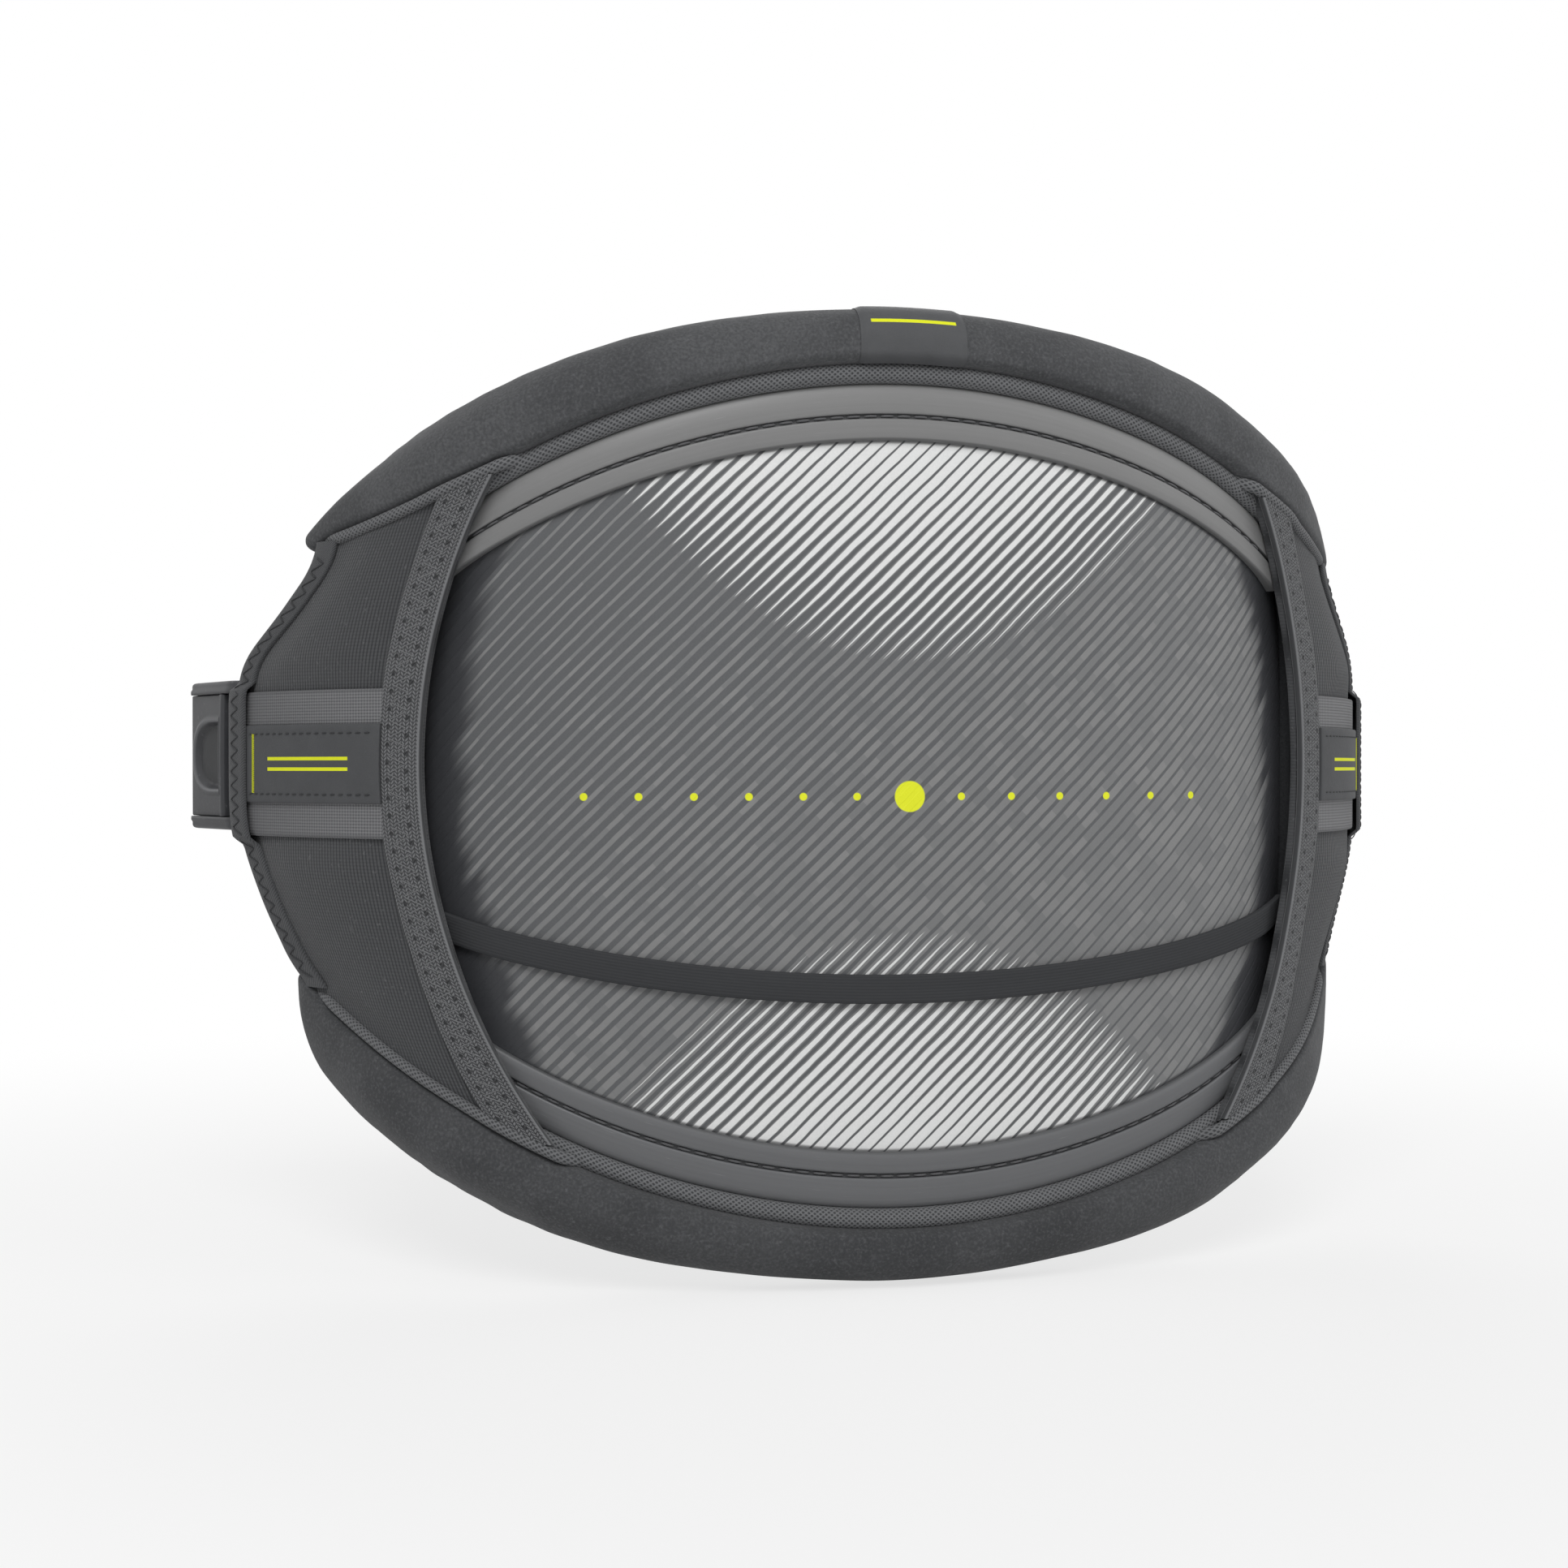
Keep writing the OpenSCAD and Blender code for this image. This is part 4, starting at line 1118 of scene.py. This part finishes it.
def make_wing_piping(roll, side, word):
    """A thinner piping comes up over the trim tape and follows the seam along the wing."""
    tape_at = tape_s(roll.up * roll.tape_end)
    start, end = tape_at - 9, roll.half_len + 8

    def outline(s):
        climb = smooth(start, tape_at - 1, s)
        settle_down = smooth(tape_at + TAPE_W, tape_at + TAPE_W + 14, s)
        fade = smooth(roll.half_len - 14, roll.half_len, s)
        taper = smooth(roll.half_len - 2, end + 1, s)
        radius = PIPING_R * (1 - 0.4 * fade - 0.45 * taper)
        n = WELT_N + (TAPE_N + 1.1 - WELT_N) * climb - 1.3 * settle_down - 1.6 * fade
        return welt_ring(n, roll.seam(s) - radius + 0.1 + 0.5 * fade, radius)

    piece = loft(f"{roll.word}_welt_{word}_run", spread(start, end, 80), outline,
                 lambda s, n, z: at(side * s, n, z * roll.up), sharp=75)
    settle(piece, KNIT)


# ---- Leash strap ----

def make_leash():
    """The flat strap across the shell that a leash slides on."""
    def outline(s):
        low = face_n(s, leash_z(s)) + LAY
        wide = LEASH_W / 2
        corners = [(low, -wide, 0.3), (low + LEASH_T - 0.15, -wide, 0.8), (low + LEASH_T, 0, 2),
                   (low + LEASH_T - 0.15, wide, 0.8), (low, wide, 0.3)]
        return [(n, leash_z(s) + z) for n, z in rounded(corners)]

    half = SHELL_HALF_LEN - 2
    piece = loft("leash_strap_band", spread(-half, half, 146), outline, at,
                 chart=lambda s, n, z: (s, z - leash_z(s)))
    settle(piece, STRAP, ["leash_strap"])


# ---- Wings ----

WING_SWELL = 1.7


def swell_wing():
    """The simulated swelling of a wing's pad between its seams, tape, binding and webbing."""
    def outline(z):
        return slab(tape_s(z) + 1, wing_limit(z), inner_n, lambda s: COVER_N, 16, 2)

    def held(s, n, z):
        front = BINDING_W if BOTTOM_END_Z < z < TOP_END_Z else 4
        room = min(s - tape_s(z) - TAPE_W, wing_limit(z) - front - s, wing_edge(s, TOP) - 4 - z,
                   z - wing_edge(s, BOTTOM) - 4)
        return room < 0 or abs(z - WEBBING_Z) < WEBBING_W / 2 - 1

    return Swell("wing_pad", spread(TAPE_LOW_Z, TAPE_HIGH_Z, 60), outline, lambda z, s, n: (s, n, z), held,
                 WING_SWELL)


def cover_puff(s, z):
    """How far the cover swells over its foam, up to 1 mm: not under the tape, binding or webbing."""
    off_tape = smooth(TAPE_W + 1, TAPE_W + 22, s - tape_s(z))
    off_front = smooth(BINDING_W, BINDING_W + 16, wing_limit(z) - s)
    off_webbing = smooth(WEBBING_W / 2 + 0.5, WEBBING_W / 2 + 12, abs(z - WEBBING_Z))
    return off_tape * off_front * off_webbing


def make_wing(side, word, swell):
    """The wing's outer fabric."""
    def place_up(z, s, n):
        # Only the cover's outer skin swells
        lift = swell.move(s, COVER_N, z).y if n > POCKET_H + COVER_T / 2 else 0
        return at(side * s, n + lift, z)

    def cover(z):
        # Between the rolls it ends under the binding
        limit = wing_limit(z) - (BINDING_T + LAY if BOTTOM_END_Z <= z <= TOP_END_Z else 0)
        return slab(tape_s(z) + 1, limit, lambda s: POCKET_H, lambda s: COVER_N + cover_puff(s, z), 44, 0.6)

    heights = spread(TAPE_LOW_Z - 1, BOTTOM_END_Z, 22)[:-1] + spread(BOTTOM_END_Z, TOP_END_Z, 90)
    heights += spread(TOP_END_Z, TAPE_HIGH_Z + 1, 10)[1:]
    piece = loft(word + "_wing_fabric", heights, cover, place_up,
                 chart=lambda z, s, n: (s - tape_s(z) * 0.8, z))
    settle(piece, RIBBED, [word + "_wing_cover"])


def make_trim_tape(side, word):
    """The elastic tape on the cover's edge over the shell, with its zigzag stitches."""
    def tape(z):
        start = tape_s(z)
        return slab(start, start + TAPE_W, lambda s: TAPE_N,
                    lambda s: TAPE_N + tape_thickness(s - start), 22, 0.7)

    piece = loft(word + "_trim_elastic", spread(TAPE_LOW_Z, TAPE_HIGH_Z, 130), tape,
                 lambda z, s, n: at(side * s, n, tape_z(s, z)),
                 chart=lambda z, s, n: (s - tape_s(z), tape_run(z)))
    settle(piece, ELASTIC, [word + "_trim_tape"])
    make_tape_stitches(side, word)


def tape_thickness(across):
    """The tape is a little thicker at its folded selvedge."""
    return TAPE_T - 0.35 * smooth(1.2, 2.2, across) - 0.5 * smooth(TAPE_W - 3, TAPE_W, across)


def make_tape_stitches(side, word):
    def pitch_at(z):
        slope = (z - TAPE_MID_Z) / TAPE_BOW_RADIUS
        return HOLE_PITCH / math.sqrt(1 + slope * slope)

    def place(row, z):
        across = HOLE_ROWS[row]
        return side * (tape_s(z) + across), TAPE_N + tape_thickness(across) - 0.02, z

    line = zigzag(TAPE_LOW_Z + 7, TAPE_HIGH_Z - 6, pitch_at, place)
    stitches(word + "_tape_zigzag", line, 0.15, TAPE_THREAD)


def webbing_lift(z):
    return (WEBBING_T + PATCH_T + LAY) * smooth(WEBBING_W / 2 + 3.5, WEBBING_W / 2 + 0.3, abs(z - WEBBING_Z))


def binding_out(z):
    return TAPE_N + BINDING_T + webbing_lift(z)


def make_binding(side, word):
    """The tape round the wing's front edge, zigzagged on both faces."""
    def outline(z):
        front = front_s(z)
        back = front - BINDING_W
        out = binding_out(z)
        low = inner_n(front) - LAY - BINDING_T
        low_back = inner_n(back) - LAY - BINDING_T
        inner_front = front - BINDING_T
        return rounded([
            (back, out - 0.5, 0.4), (back + 0.6, out, 0.5), (back + 5, out + 0.25, 2),
            (front - 0.6, out - 0.3, 2.6), (front + 0.7, (out + low) / 2, 6), (front - 0.6, low, 2.6),
            (back + 5, (low + low_back) / 2 - 0.2, 2), (back + 0.6, low_back, 0.5),
            (back, low_back + 0.6, 0.4), (back, low_back + BINDING_T, 0),
            (inner_front, low + BINDING_T + 0.4, 1), (inner_front, out - BINDING_T, 1),
            (back, out - BINDING_T, 0)])

    bind_inset = 1
    heights = spread(BOTTOM_END_Z + bind_inset, TOP_END_Z - bind_inset, 110)
    piece = loft(word + "_edge_tape", heights, outline, lambda z, s, n: at(side * s, n, z))
    settle(piece, BINDING, [word + "_edge_binding"])
    for name in ("outer", "inner"):
        def place(row, z):
            s = front_s(z) - (9.6, 4.4)[row]
            n = binding_out(z) + 0.2 if name == "outer" else inner_n(s) - LAY - BINDING_T - 0.3
            return side * s, n, z

        line = zigzag(BOTTOM_END_Z + 4, TOP_END_Z - 5, lambda z: 4.4, place)
        stitches(f"{word}_binding_zigzag_{name}", line if name == "outer" else inwards(line), 0.2,
                 DARK_THREAD)


# ---- Side webbing ----

def flat_band(side, name, low, thick, wide, edge):
    """A flat band with rounded edges, from the trim tape's edge along the wing in under the binding."""
    rows = [-wide / 2, -wide / 2 + edge * 0.3] + spread(-wide / 2 + edge, wide / 2 - edge, 24)
    rows += [wide / 2 - edge * 0.3, wide / 2]
    inset = [edge, edge * 0.3] + [0] * 25 + [edge * 0.3, edge]

    def outline(i):
        lowest, highest = low + inset[i] * 0.3, low + thick - inset[i]
        band = slab(tape_s(WEBBING_Z + rows[i]) + TAPE_W - 1.2, WING_LEN - BINDING_W - LAY + 5,
                    lambda s: low, lambda s: low + thick, 40, 0.3)
        return [(s, min(highest, max(lowest, n))) for s, n in band]

    return loft(name, list(range(len(rows))), outline, lambda i, s, n: at(side * s, n, WEBBING_Z + rows[i]),
                chart=lambda i, s, n: (s, WEBBING_Z + rows[i]))


def make_webbing(side, word):
    """The load webbing, its sewn patch and the patch's seams and bar tack."""
    start, end = TAPE_REACH + TAPE_W + LAY, WING_LEN - BINDING_W - LAY
    patch_n = TAPE_N + WEBBING_T + LAY - 0.25
    band = flat_band(side, word + "_load_webbing", TAPE_N, WEBBING_T, WEBBING_W, 0.5)
    settle(band, WEBBING, [word + "_side_webbing"])
    patch = flat_band(side, word + "_sewn_patch", patch_n, PATCH_T, PATCH_W, 0.4)
    settle(patch, PATCH, [word + "_webbing_patch"])
    top = patch_n + PATCH_T
    for up, name in ((1, "upper"), (-1, "lower")):
        points = [(side * s, top + 0.02, WEBBING_Z + PATCH_SEAM * up)
                  for s in spread(start + 1, end - 0.5, 17)]
        stitches(f"{word}_patch_stitches_{name}", run_of_stitches(points, 0.66), 0.2, DARK_THREAD)
    # The bar tack is one close zigzag of bright thread
    pitch = TACK_LEN / 30
    line = zigzag(WEBBING_Z - TACK_LEN / 2, WEBBING_Z + TACK_LEN / 2 + pitch / 2, lambda z: pitch,
                  lambda row, z: (side * (end - 3 - TACK_W * (1 - row)), top + 0.05, z))
    tack = stitches(word + "_bar_tack_thread", line, 0.16, YELLOW_THREAD)
    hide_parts(word + "_bar_tack")


# ---- Inner liner ----

CHANNELS, PAD_MARGIN, QUILT_MARGIN, LUMBAR_SWELL = (0, 44, 92), 18, 16, 3.0


def swell_lumbar():
    """The simulated swelling of the lumbar pad towards the body, between its channels and edges."""
    def outline(s):
        high = plate_z(s)
        return slab(-high, high, lambda z: inner_n(s), lambda z: -EDGE_SINK - SHELL_T, 40, 2)

    def held(s, n, z):
        channel = min(abs(abs(s) - c) for c in CHANNELS)
        edge = min(SHELL_HALF_LEN - abs(s), rim_z(s) - abs(z)) - PAD_MARGIN
        return n > -PAD_DEPTH + 5 or channel < 3.2 or edge < 0

    half = SHELL_HALF_LEN - 2
    return Swell("lumbar_pad", spread(-half, half, 60), outline, lambda s, z, n: (s, n, z), held,
                 LUMBAR_SWELL, voxel=6.0)


def liner_crown(s, z):
    """Swell of the liner over the lumbar foam, drawn in along its sewn channels and its edges."""
    most, edge_fade, channel_fade = 0.8, 14, 7
    share = smooth(0, edge_fade, rim_z(s) - QUILT_MARGIN - abs(z))
    share *= smooth(0, edge_fade, SHELL_HALF_LEN - PAD_MARGIN - abs(s))
    for channel in CHANNELS:
        share *= smooth(0, channel_fade, abs(abs(s) - channel) + 0.4)
    return most * share


def make_liner(wing):
    lumbar = swell_lumbar()

    def place(s, z, n):
        # Only the face towards the body swells
        inner = inner_n(s)
        pad = wing if abs(s) > SHELL_HALF_LEN else lumbar
        lift = pad.move(abs(s) if pad is wing else s, inner, z).y if n < inner + LINER_T / 2 else 0
        return at(s, n + lift, z)

    def outline(s):
        top = wing_edge(abs(s) + BINDING_T + LAY, TOP) - SEAM_GAP
        bottom = wing_edge(abs(s) + BINDING_T + LAY, BOTTOM) + SEAM_GAP
        inner = inner_n(s)
        return slab(bottom, top, lambda z: inner - liner_crown(s, z), lambda z: inner + LINER_T, 110, 0.6)

    half = WING_LEN - BINDING_T - LAY
    piece = loft("inner_lining", spread(-half, half, 300), outline, place,
                 chart=lambda s, z, n: (s, z), sharp=60)
    settle(piece, LINING, ["inner_liner"])
    make_liner_stitches()


def make_liner_stitches():
    """The seams that quilt the lumbar pad: its channels and one along each rim."""
    def sew(name, line):
        run = run_of_stitches([(s, inner_n(s) - 0.15, z) for s, z in line], 0.72)
        stitches(name, inwards(run), 0.2, GREY_THREAD)

    for channel in CHANNELS:
        high = rim_z(channel) - PAD_MARGIN
        for sign, word in SIDES[:2 if channel else 1]:
            line = [(sign * channel, z) for z in spread(-high, high, int(high / 2))]
            sew(f"channel_stitches_{channel}_{word}", line)
    reach = SHELL_HALF_LEN - PAD_MARGIN
    for roll in ROLLS:
        sew(roll.word + "_lining_stitches",
            [(s, (rim_z(s) - QUILT_MARGIN) * roll.up) for s in spread(-reach, reach, 66)])


# ---- Buckles ----

def at_buckle(side, x, y, z):
    """x is forwards from the wing, y outwards and z up from the buckle's centre, in mm."""
    turn = heading(WING_LEN)
    origin = at(WING_LEN, 0, BUCKLE_Z)
    step = Vector((x * math.cos(turn) + y * math.sin(turn), x * math.sin(turn) - y * math.cos(turn), z))
    point = origin + step * MM
    return Vector((side * point.x, point.y, point.z))


def dress_node(name, material, bevel):
    """Keeps a CAD node's shape, softens its edges and gives it its material."""
    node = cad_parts[name]
    node.data.materials.clear()
    node.data.materials.append(material)
    node.data.shade_smooth()
    weld = node.modifiers.new("weld", "WELD")
    weld.merge_threshold = 1e-6
    if bevel:
        edge = node.modifiers.new("edge", "BEVEL")
        edge.width, edge.segments = bevel * MM, 3
        edge.limit_method, edge.angle_limit = "ANGLE", math.radians(30)
        edge.use_clamp_overlap = True
        edge.harden_normals = True


def make_anchor(side, word):
    """The webbing loop that ties the buckle's bar into the wing."""
    bar_y = (TAIL_LOW + TAIL_HIGH) / 2
    loop_r = BAR_R + LAY + STRAP_T / 2
    reach = spread(BAR_X - LEG_REACH, BAR_X, 10)

    def sag(x):
        return -(x * x - BAR_X * BAR_X) / (2 * SIDE_RADIUS)

    line = [(x, bar_y + loop_r + sag(x)) for x in reach]
    line += [(BAR_X + loop_r * math.cos(a), bar_y + loop_r * math.sin(a))
             for a in spread(math.radians(75), math.radians(-75), 10)]
    line += [(x, bar_y - loop_r + sag(x)) for x in reversed(reach)]
    half = BUCKLE_H / 2 - CHEEK_T - 0.75

    def frame_at(i):
        before, after = line[max(0, i - 1)], line[min(len(line) - 1, i + 1)]
        run = Vector((after[0] - before[0], after[1] - before[1])).normalized()
        return line[i], (run.y, -run.x)

    def outline(i):
        return slab(-half, half, lambda z: -STRAP_T / 2, lambda z: STRAP_T / 2, 20, 0.4)

    def place(i, z, off):
        (x, y), (nx, ny) = frame_at(i)
        return at_buckle(side, x + nx * off, y + ny * off, z)

    piece = loft(word + "_anchor_webbing", list(range(len(line))), outline, place,
                 chart=lambda i, z, off: (i * 2.0, z))
    settle(piece, BINDING, [word + "_anchor_strap"])


PIN_X, PIN_Y, CAM_R, CAM_BORE, SPRING_HALF = 36.5, 2.6, 3, 1.56, 5.05
CHEEK_IN, CHEEK_FRONT, CHEEK_HIGH, BASE_T = BUCKLE_H / 2 - CHEEK_T - 0.05, 39.7, 7.5, 2.5
LEVER_START, LEVER_FRONT, LEVER_LOW, LEVER_HIGH, LEVER_HALF = 9, 39.5, 3.4, 6.9, 19.8
LEVER_RUN = spread(LEVER_START + 1, LEVER_FRONT - 1.6, 96)


def fillet(radius, depth):
    """How far a rounded edge draws in at a depth below its end face."""
    return radius * (1 - math.sqrt(max(0, 1 - (1 - min(1, depth / radius)) ** 2)))


def shrunk(corners, amount):
    """The outline with every side moved inwards. The corners run clockwise."""
    moved = []
    for i, (a, b, radius) in enumerate(corners):
        here = Vector((a, b))
        before = (here - Vector(corners[i - 1][:2])).normalized()
        after = (Vector(corners[(i + 1) % len(corners)][:2]) - here).normalized()
        sides = Vector((before.y, -before.x)) + Vector((after.y, -after.x))
        shift = sides * (amount / max(0.4, 1 + before.dot(after)))
        moved.append((a + shift.x, b + shift.y, radius))
    return moved


def make_cheek(side, name, up):
    """One side wall of the buckle, with rolled edges and a rounded front corner."""
    corners = [
        (-16, TAIL_LOW, 0.8), (-16, TAIL_HIGH, 0.8), (0.3, TAIL_HIGH, 1.2), (1.5, 5.9, 1.6),
        (5, CHEEK_HIGH, 2), (37.5, CHEEK_HIGH, 2.5), (CHEEK_FRONT, 3.5, 2), (CHEEK_FRONT, -2.4, 1.6),
        (38, TAIL_LOW, 1.6)]
    edge, turn = 1.3, 5.5

    def outline(z):
        inset = fillet(edge, BUCKLE_H / 2 - z) + 0.4 * fillet(0.5, z - CHEEK_IN)
        front = CHEEK_FRONT - fillet(turn, BUCKLE_H / 2 - z)
        lip = 0.5 * smooth(CHEEK_IN + 1.9, CHEEK_IN + 1.2, z)
        points = rounded(shrunk(corners, inset), 4)
        return [(min(x, front), y + lip * smooth(4.5, 6.5, y)) for x, y in points]

    steps = [CHEEK_IN, CHEEK_IN + 0.12, CHEEK_IN + 0.5, CHEEK_IN + 1.2, CHEEK_IN + 1.9]
    steps += [BUCKLE_H / 2 - edge * d for d in (1, 0.7, 0.45, 0.25, 0.1, 0)]
    return loft(name, steps, outline, lambda z, x, y: at_buckle(side, x, y, z * up), sharp=50)


def make_frame(side, word):
    """The buckle's frame: two cheeks, the base, the bridge behind it and the bar for the strap."""
    cheeks = [make_cheek(side, f"{word}_buckle_{end}", up) for end, up in (("body", 1), ("lower", -1))]
    half = CHEEK_IN + 0.6
    ends = [-half, half]

    def across(name, outline):
        return loft(name, ends, lambda z: outline, lambda z, x, y: at_buckle(side, x, y, z), sharp=50)

    base = across(word + "_buckle_base", rounded([
        (0, TAIL_LOW, 0.8), (0, TAIL_LOW + BASE_T, 0), (37, TAIL_LOW + BASE_T, 0.8), (38, TAIL_LOW + 1.2, 1),
        (37.4, TAIL_LOW, 0.8)]))
    bridge = across(word + "_buckle_bridge", rounded([
        (0.3, TAIL_LOW, 0), (0.3, TAIL_HIGH, 0.6), (2.8, TAIL_HIGH, 0.6), (2.8, TAIL_LOW, 0)]))
    bar_y = (TAIL_LOW + TAIL_HIGH) / 2
    bar = across(word + "_buckle_bar",
                 [(BAR_X + BAR_R * math.cos(a), bar_y + BAR_R * math.sin(a)) for a in full_turn(24)])
    piece = join(cheeks + [base, bridge, bar])
    settle(piece, BUCKLE, [word + "_buckle_frame"])


def dish(x, z):
    """How far the lever's face rises (its rim) or sinks (the D-shaped finger dish) at x and z."""
    out = (max(0, x - DISH_X) / DISH_LONG) ** DISH_POWER + (abs(z) / DISH_HALF) ** DISH_POWER
    inside = min((1 - out ** (1 / DISH_POWER)) * DISH_HALF, x - DISH_START)
    rim = 0.5 * smooth(-2.0, -0.7, inside) * smooth(0.3, -0.5, inside)
    return rim - DISH_DEEP * smooth(-0.1, 1.5, inside) * (1 - 0.55 * smooth(17, 34, x))


def lever_face(x, z):
    """Height of the lever's face: a slight crown, a lip at its free end and the dish."""
    lip = 1.2 * smooth(LEVER_START + 3.9, LEVER_START + 2.4, x)
    crown = 0.3 * (1 - (z / LEVER_HALF) ** 2) * smooth(LEVER_FRONT, LEVER_FRONT - 9, x)
    return LEVER_HIGH - 0.25 + lip + crown + dish(x, z)


def lever_outline(z):
    """The lever's section at z: its face, the nose round the pin, its back and its free end."""
    cut = fillet(0.45, LEVER_HALF - abs(z))
    nose_r, front = 2.4, LEVER_FRONT - cut * 0.2
    top = [(x, lever_face(x, z) - cut) for x in LEVER_RUN]
    top += [(LEVER_FRONT - 0.75, lever_face(LEVER_FRONT, z) - 0.4 - cut),
            (LEVER_FRONT - 0.2, LEVER_HIGH - 1.5 - cut), (front, LEVER_HIGH - 2.6), (front, PIN_Y + 0.3)]
    nose = [(PIN_X + nose_r * math.cos(a), PIN_Y + nose_r * math.sin(a))
            for a in spread(0.1, math.radians(160), 12)]
    start, end = LEVER_START + cut * 0.5, lever_face(LEVER_START, z) - cut
    under = LEVER_LOW - 0.8 * smooth(DISH_HALF + 2, DISH_HALF - 1, abs(z))
    back = [(31, under), (15, under), (LEVER_START + 2.5, LEVER_LOW), (LEVER_START + 0.8, LEVER_LOW)]
    back += [(start + 0.15, LEVER_LOW + 0.5), (start, end - 1.1), (start + 0.35, end - 0.35)]
    return top + nose + back


def make_lever(side, word):
    """The cam lever: a plate with a finger dish and a lip, and its two cams round the pin."""
    side_run = [0, 0.06, 0.16, 0.3, 0.45]
    rows = [-LEVER_HALF + d for d in side_run] + spread(-LEVER_HALF + 1.5, LEVER_HALF - 1.5, 90)
    rows += [LEVER_HALF - d for d in reversed(side_run)]
    parts = [loft(word + "_lever_plate", rows, lever_outline, lambda z, x, y: at_buckle(side, x, y, z),
                  chart=lambda z, x, y: (x, z), sharp=42)]
    wall = rounded([(CAM_BORE, SPRING_HALF, 0.15), (CAM_R, SPRING_HALF, 0.4), (CAM_R, LEVER_HALF, 0.4),
                    (CAM_BORE, LEVER_HALF, 0.15)])
    for up, end in ((1, "high"), (-1, "low")):
        parts.append(loft(
            f"{word}_lever_cam_{end}", full_turn(40), lambda a: wall,
            lambda a, r, z: at_buckle(side, PIN_X + r * math.cos(a), PIN_Y + r * math.sin(a), z * up),
            ring=True))
    settle(join(parts), LEVER, [word + "_cam_lever"], body=word + "_lever")


def make_buckle(side, word):
    make_anchor(side, word)
    make_frame(side, word)
    make_lever(side, word)
    dress_node(word + "_hinge_pin", STEEL, 0.2)
    dress_node(word + "_torsion_spring", STEEL, 0)


# ---- Studio ----

def bare_tree(owner, output):
    """The emptied node tree of a material or world, and its output's slot."""
    owner.use_nodes = True
    tree = owner.node_tree
    tree.nodes.clear()
    return tree, tree.nodes.new("ShaderNodeOutput" + output).inputs[0]


def floor_material():
    """White floor that keeps the soft shadow. Camera rays see it mostly as a lit white sheet."""
    material = bpy.data.materials.new("studio_floor")
    tree, out = bare_tree(material, "Material")
    # The white share rises from the object outwards, so that the floor has no visible end
    reach = field(tree, "VectorMath", "Value", {0: field(tree, "TexCoord", "Object")}, operation="LENGTH")
    limits = {"Value": reach, "From Min": 0.22, "From Max": 0.75, "To Min": 0.7, "To Max": 1.0}
    share = field(tree, "MapRange", "Result", limits, interpolation_type="SMOOTHSTEP")
    seen = field(tree, "LightPath", "Is Camera Ray") * share
    matt = field(tree, "BsdfDiffuse", 0, {"Color": (0.9, 0.9, 0.9, 1)})
    put(tree, out, field(tree, "MixShader", 0, {0: seen, 1: matt, 2: field(tree, "Emission")}))
    return material


def make_floor():
    size = 6.0
    low = CAD_BOX[0][2] - 0.0015
    mesh = bpy.data.meshes.new("floor")
    mesh.from_pydata([(-size, -size, low), (size, -size, low), (size, size, low), (-size, size, low)], [],
                     [(0, 1, 2, 3)])
    mesh.materials.append(floor_material())
    add_object("floor", mesh)


def make_world():
    """White for the camera and in reflections, and a softer light on everything."""
    world = bpy.data.worlds.new("studio")
    bpy.context.scene.world = world
    tree, out = bare_tree(world, "World")
    camera, glossy, clear = (field(tree, "LightPath", f"Is {ray} Ray")
                             for ray in ("Camera", "Glossy", "Transmission"))
    seen, light = (field(tree, "Background", 0, {"Color": (1, 1, 1, 1), "Strength": strength})
                   for strength in (1.0, 0.34))
    put(tree, out, field(tree, "MixShader", 0, {0: camera.most(glossy).most(clear), 1: light, 2: seen}))


def make_lamp(name, place, size, power):
    data = bpy.data.lights.new(name, "AREA")
    data.shape, data.size, data.energy = "DISK", size, power
    lamp = add_object(name, data)
    lamp.location = place
    lamp.rotation_euler = (-Vector(place)).to_track_quat("-Z", "Y").to_euler()


def make_studio():
    bpy.context.scene.view_settings.view_transform = "Standard"
    make_world()
    make_floor()
    make_lamp("key", (-0.5, -1.5, 1.5), 1.2, 21)
    make_lamp("fill", (1.4, -0.9, 0.7), 1.0, 4.2)
    make_lamp("back", (0.2, 1.5, 1.2), 1.2, 9)


# ---- The harness ----

make_shell()
make_rims()
make_lumbar_foam()
for wing_side, wing_word in SIDES:
    make_wing_filling(wing_side, wing_word)
make_rolls()
make_welts()
make_leash()
wing_swell = swell_wing()
make_liner(wing_swell)
for wing_side, wing_word in SIDES:
    make_wing(wing_side, wing_word, wing_swell)
    make_trim_tape(wing_side, wing_word)
    make_binding(wing_side, wing_word)
    make_webbing(wing_side, wing_word)
    make_buckle(wing_side, wing_word)
make_studio()
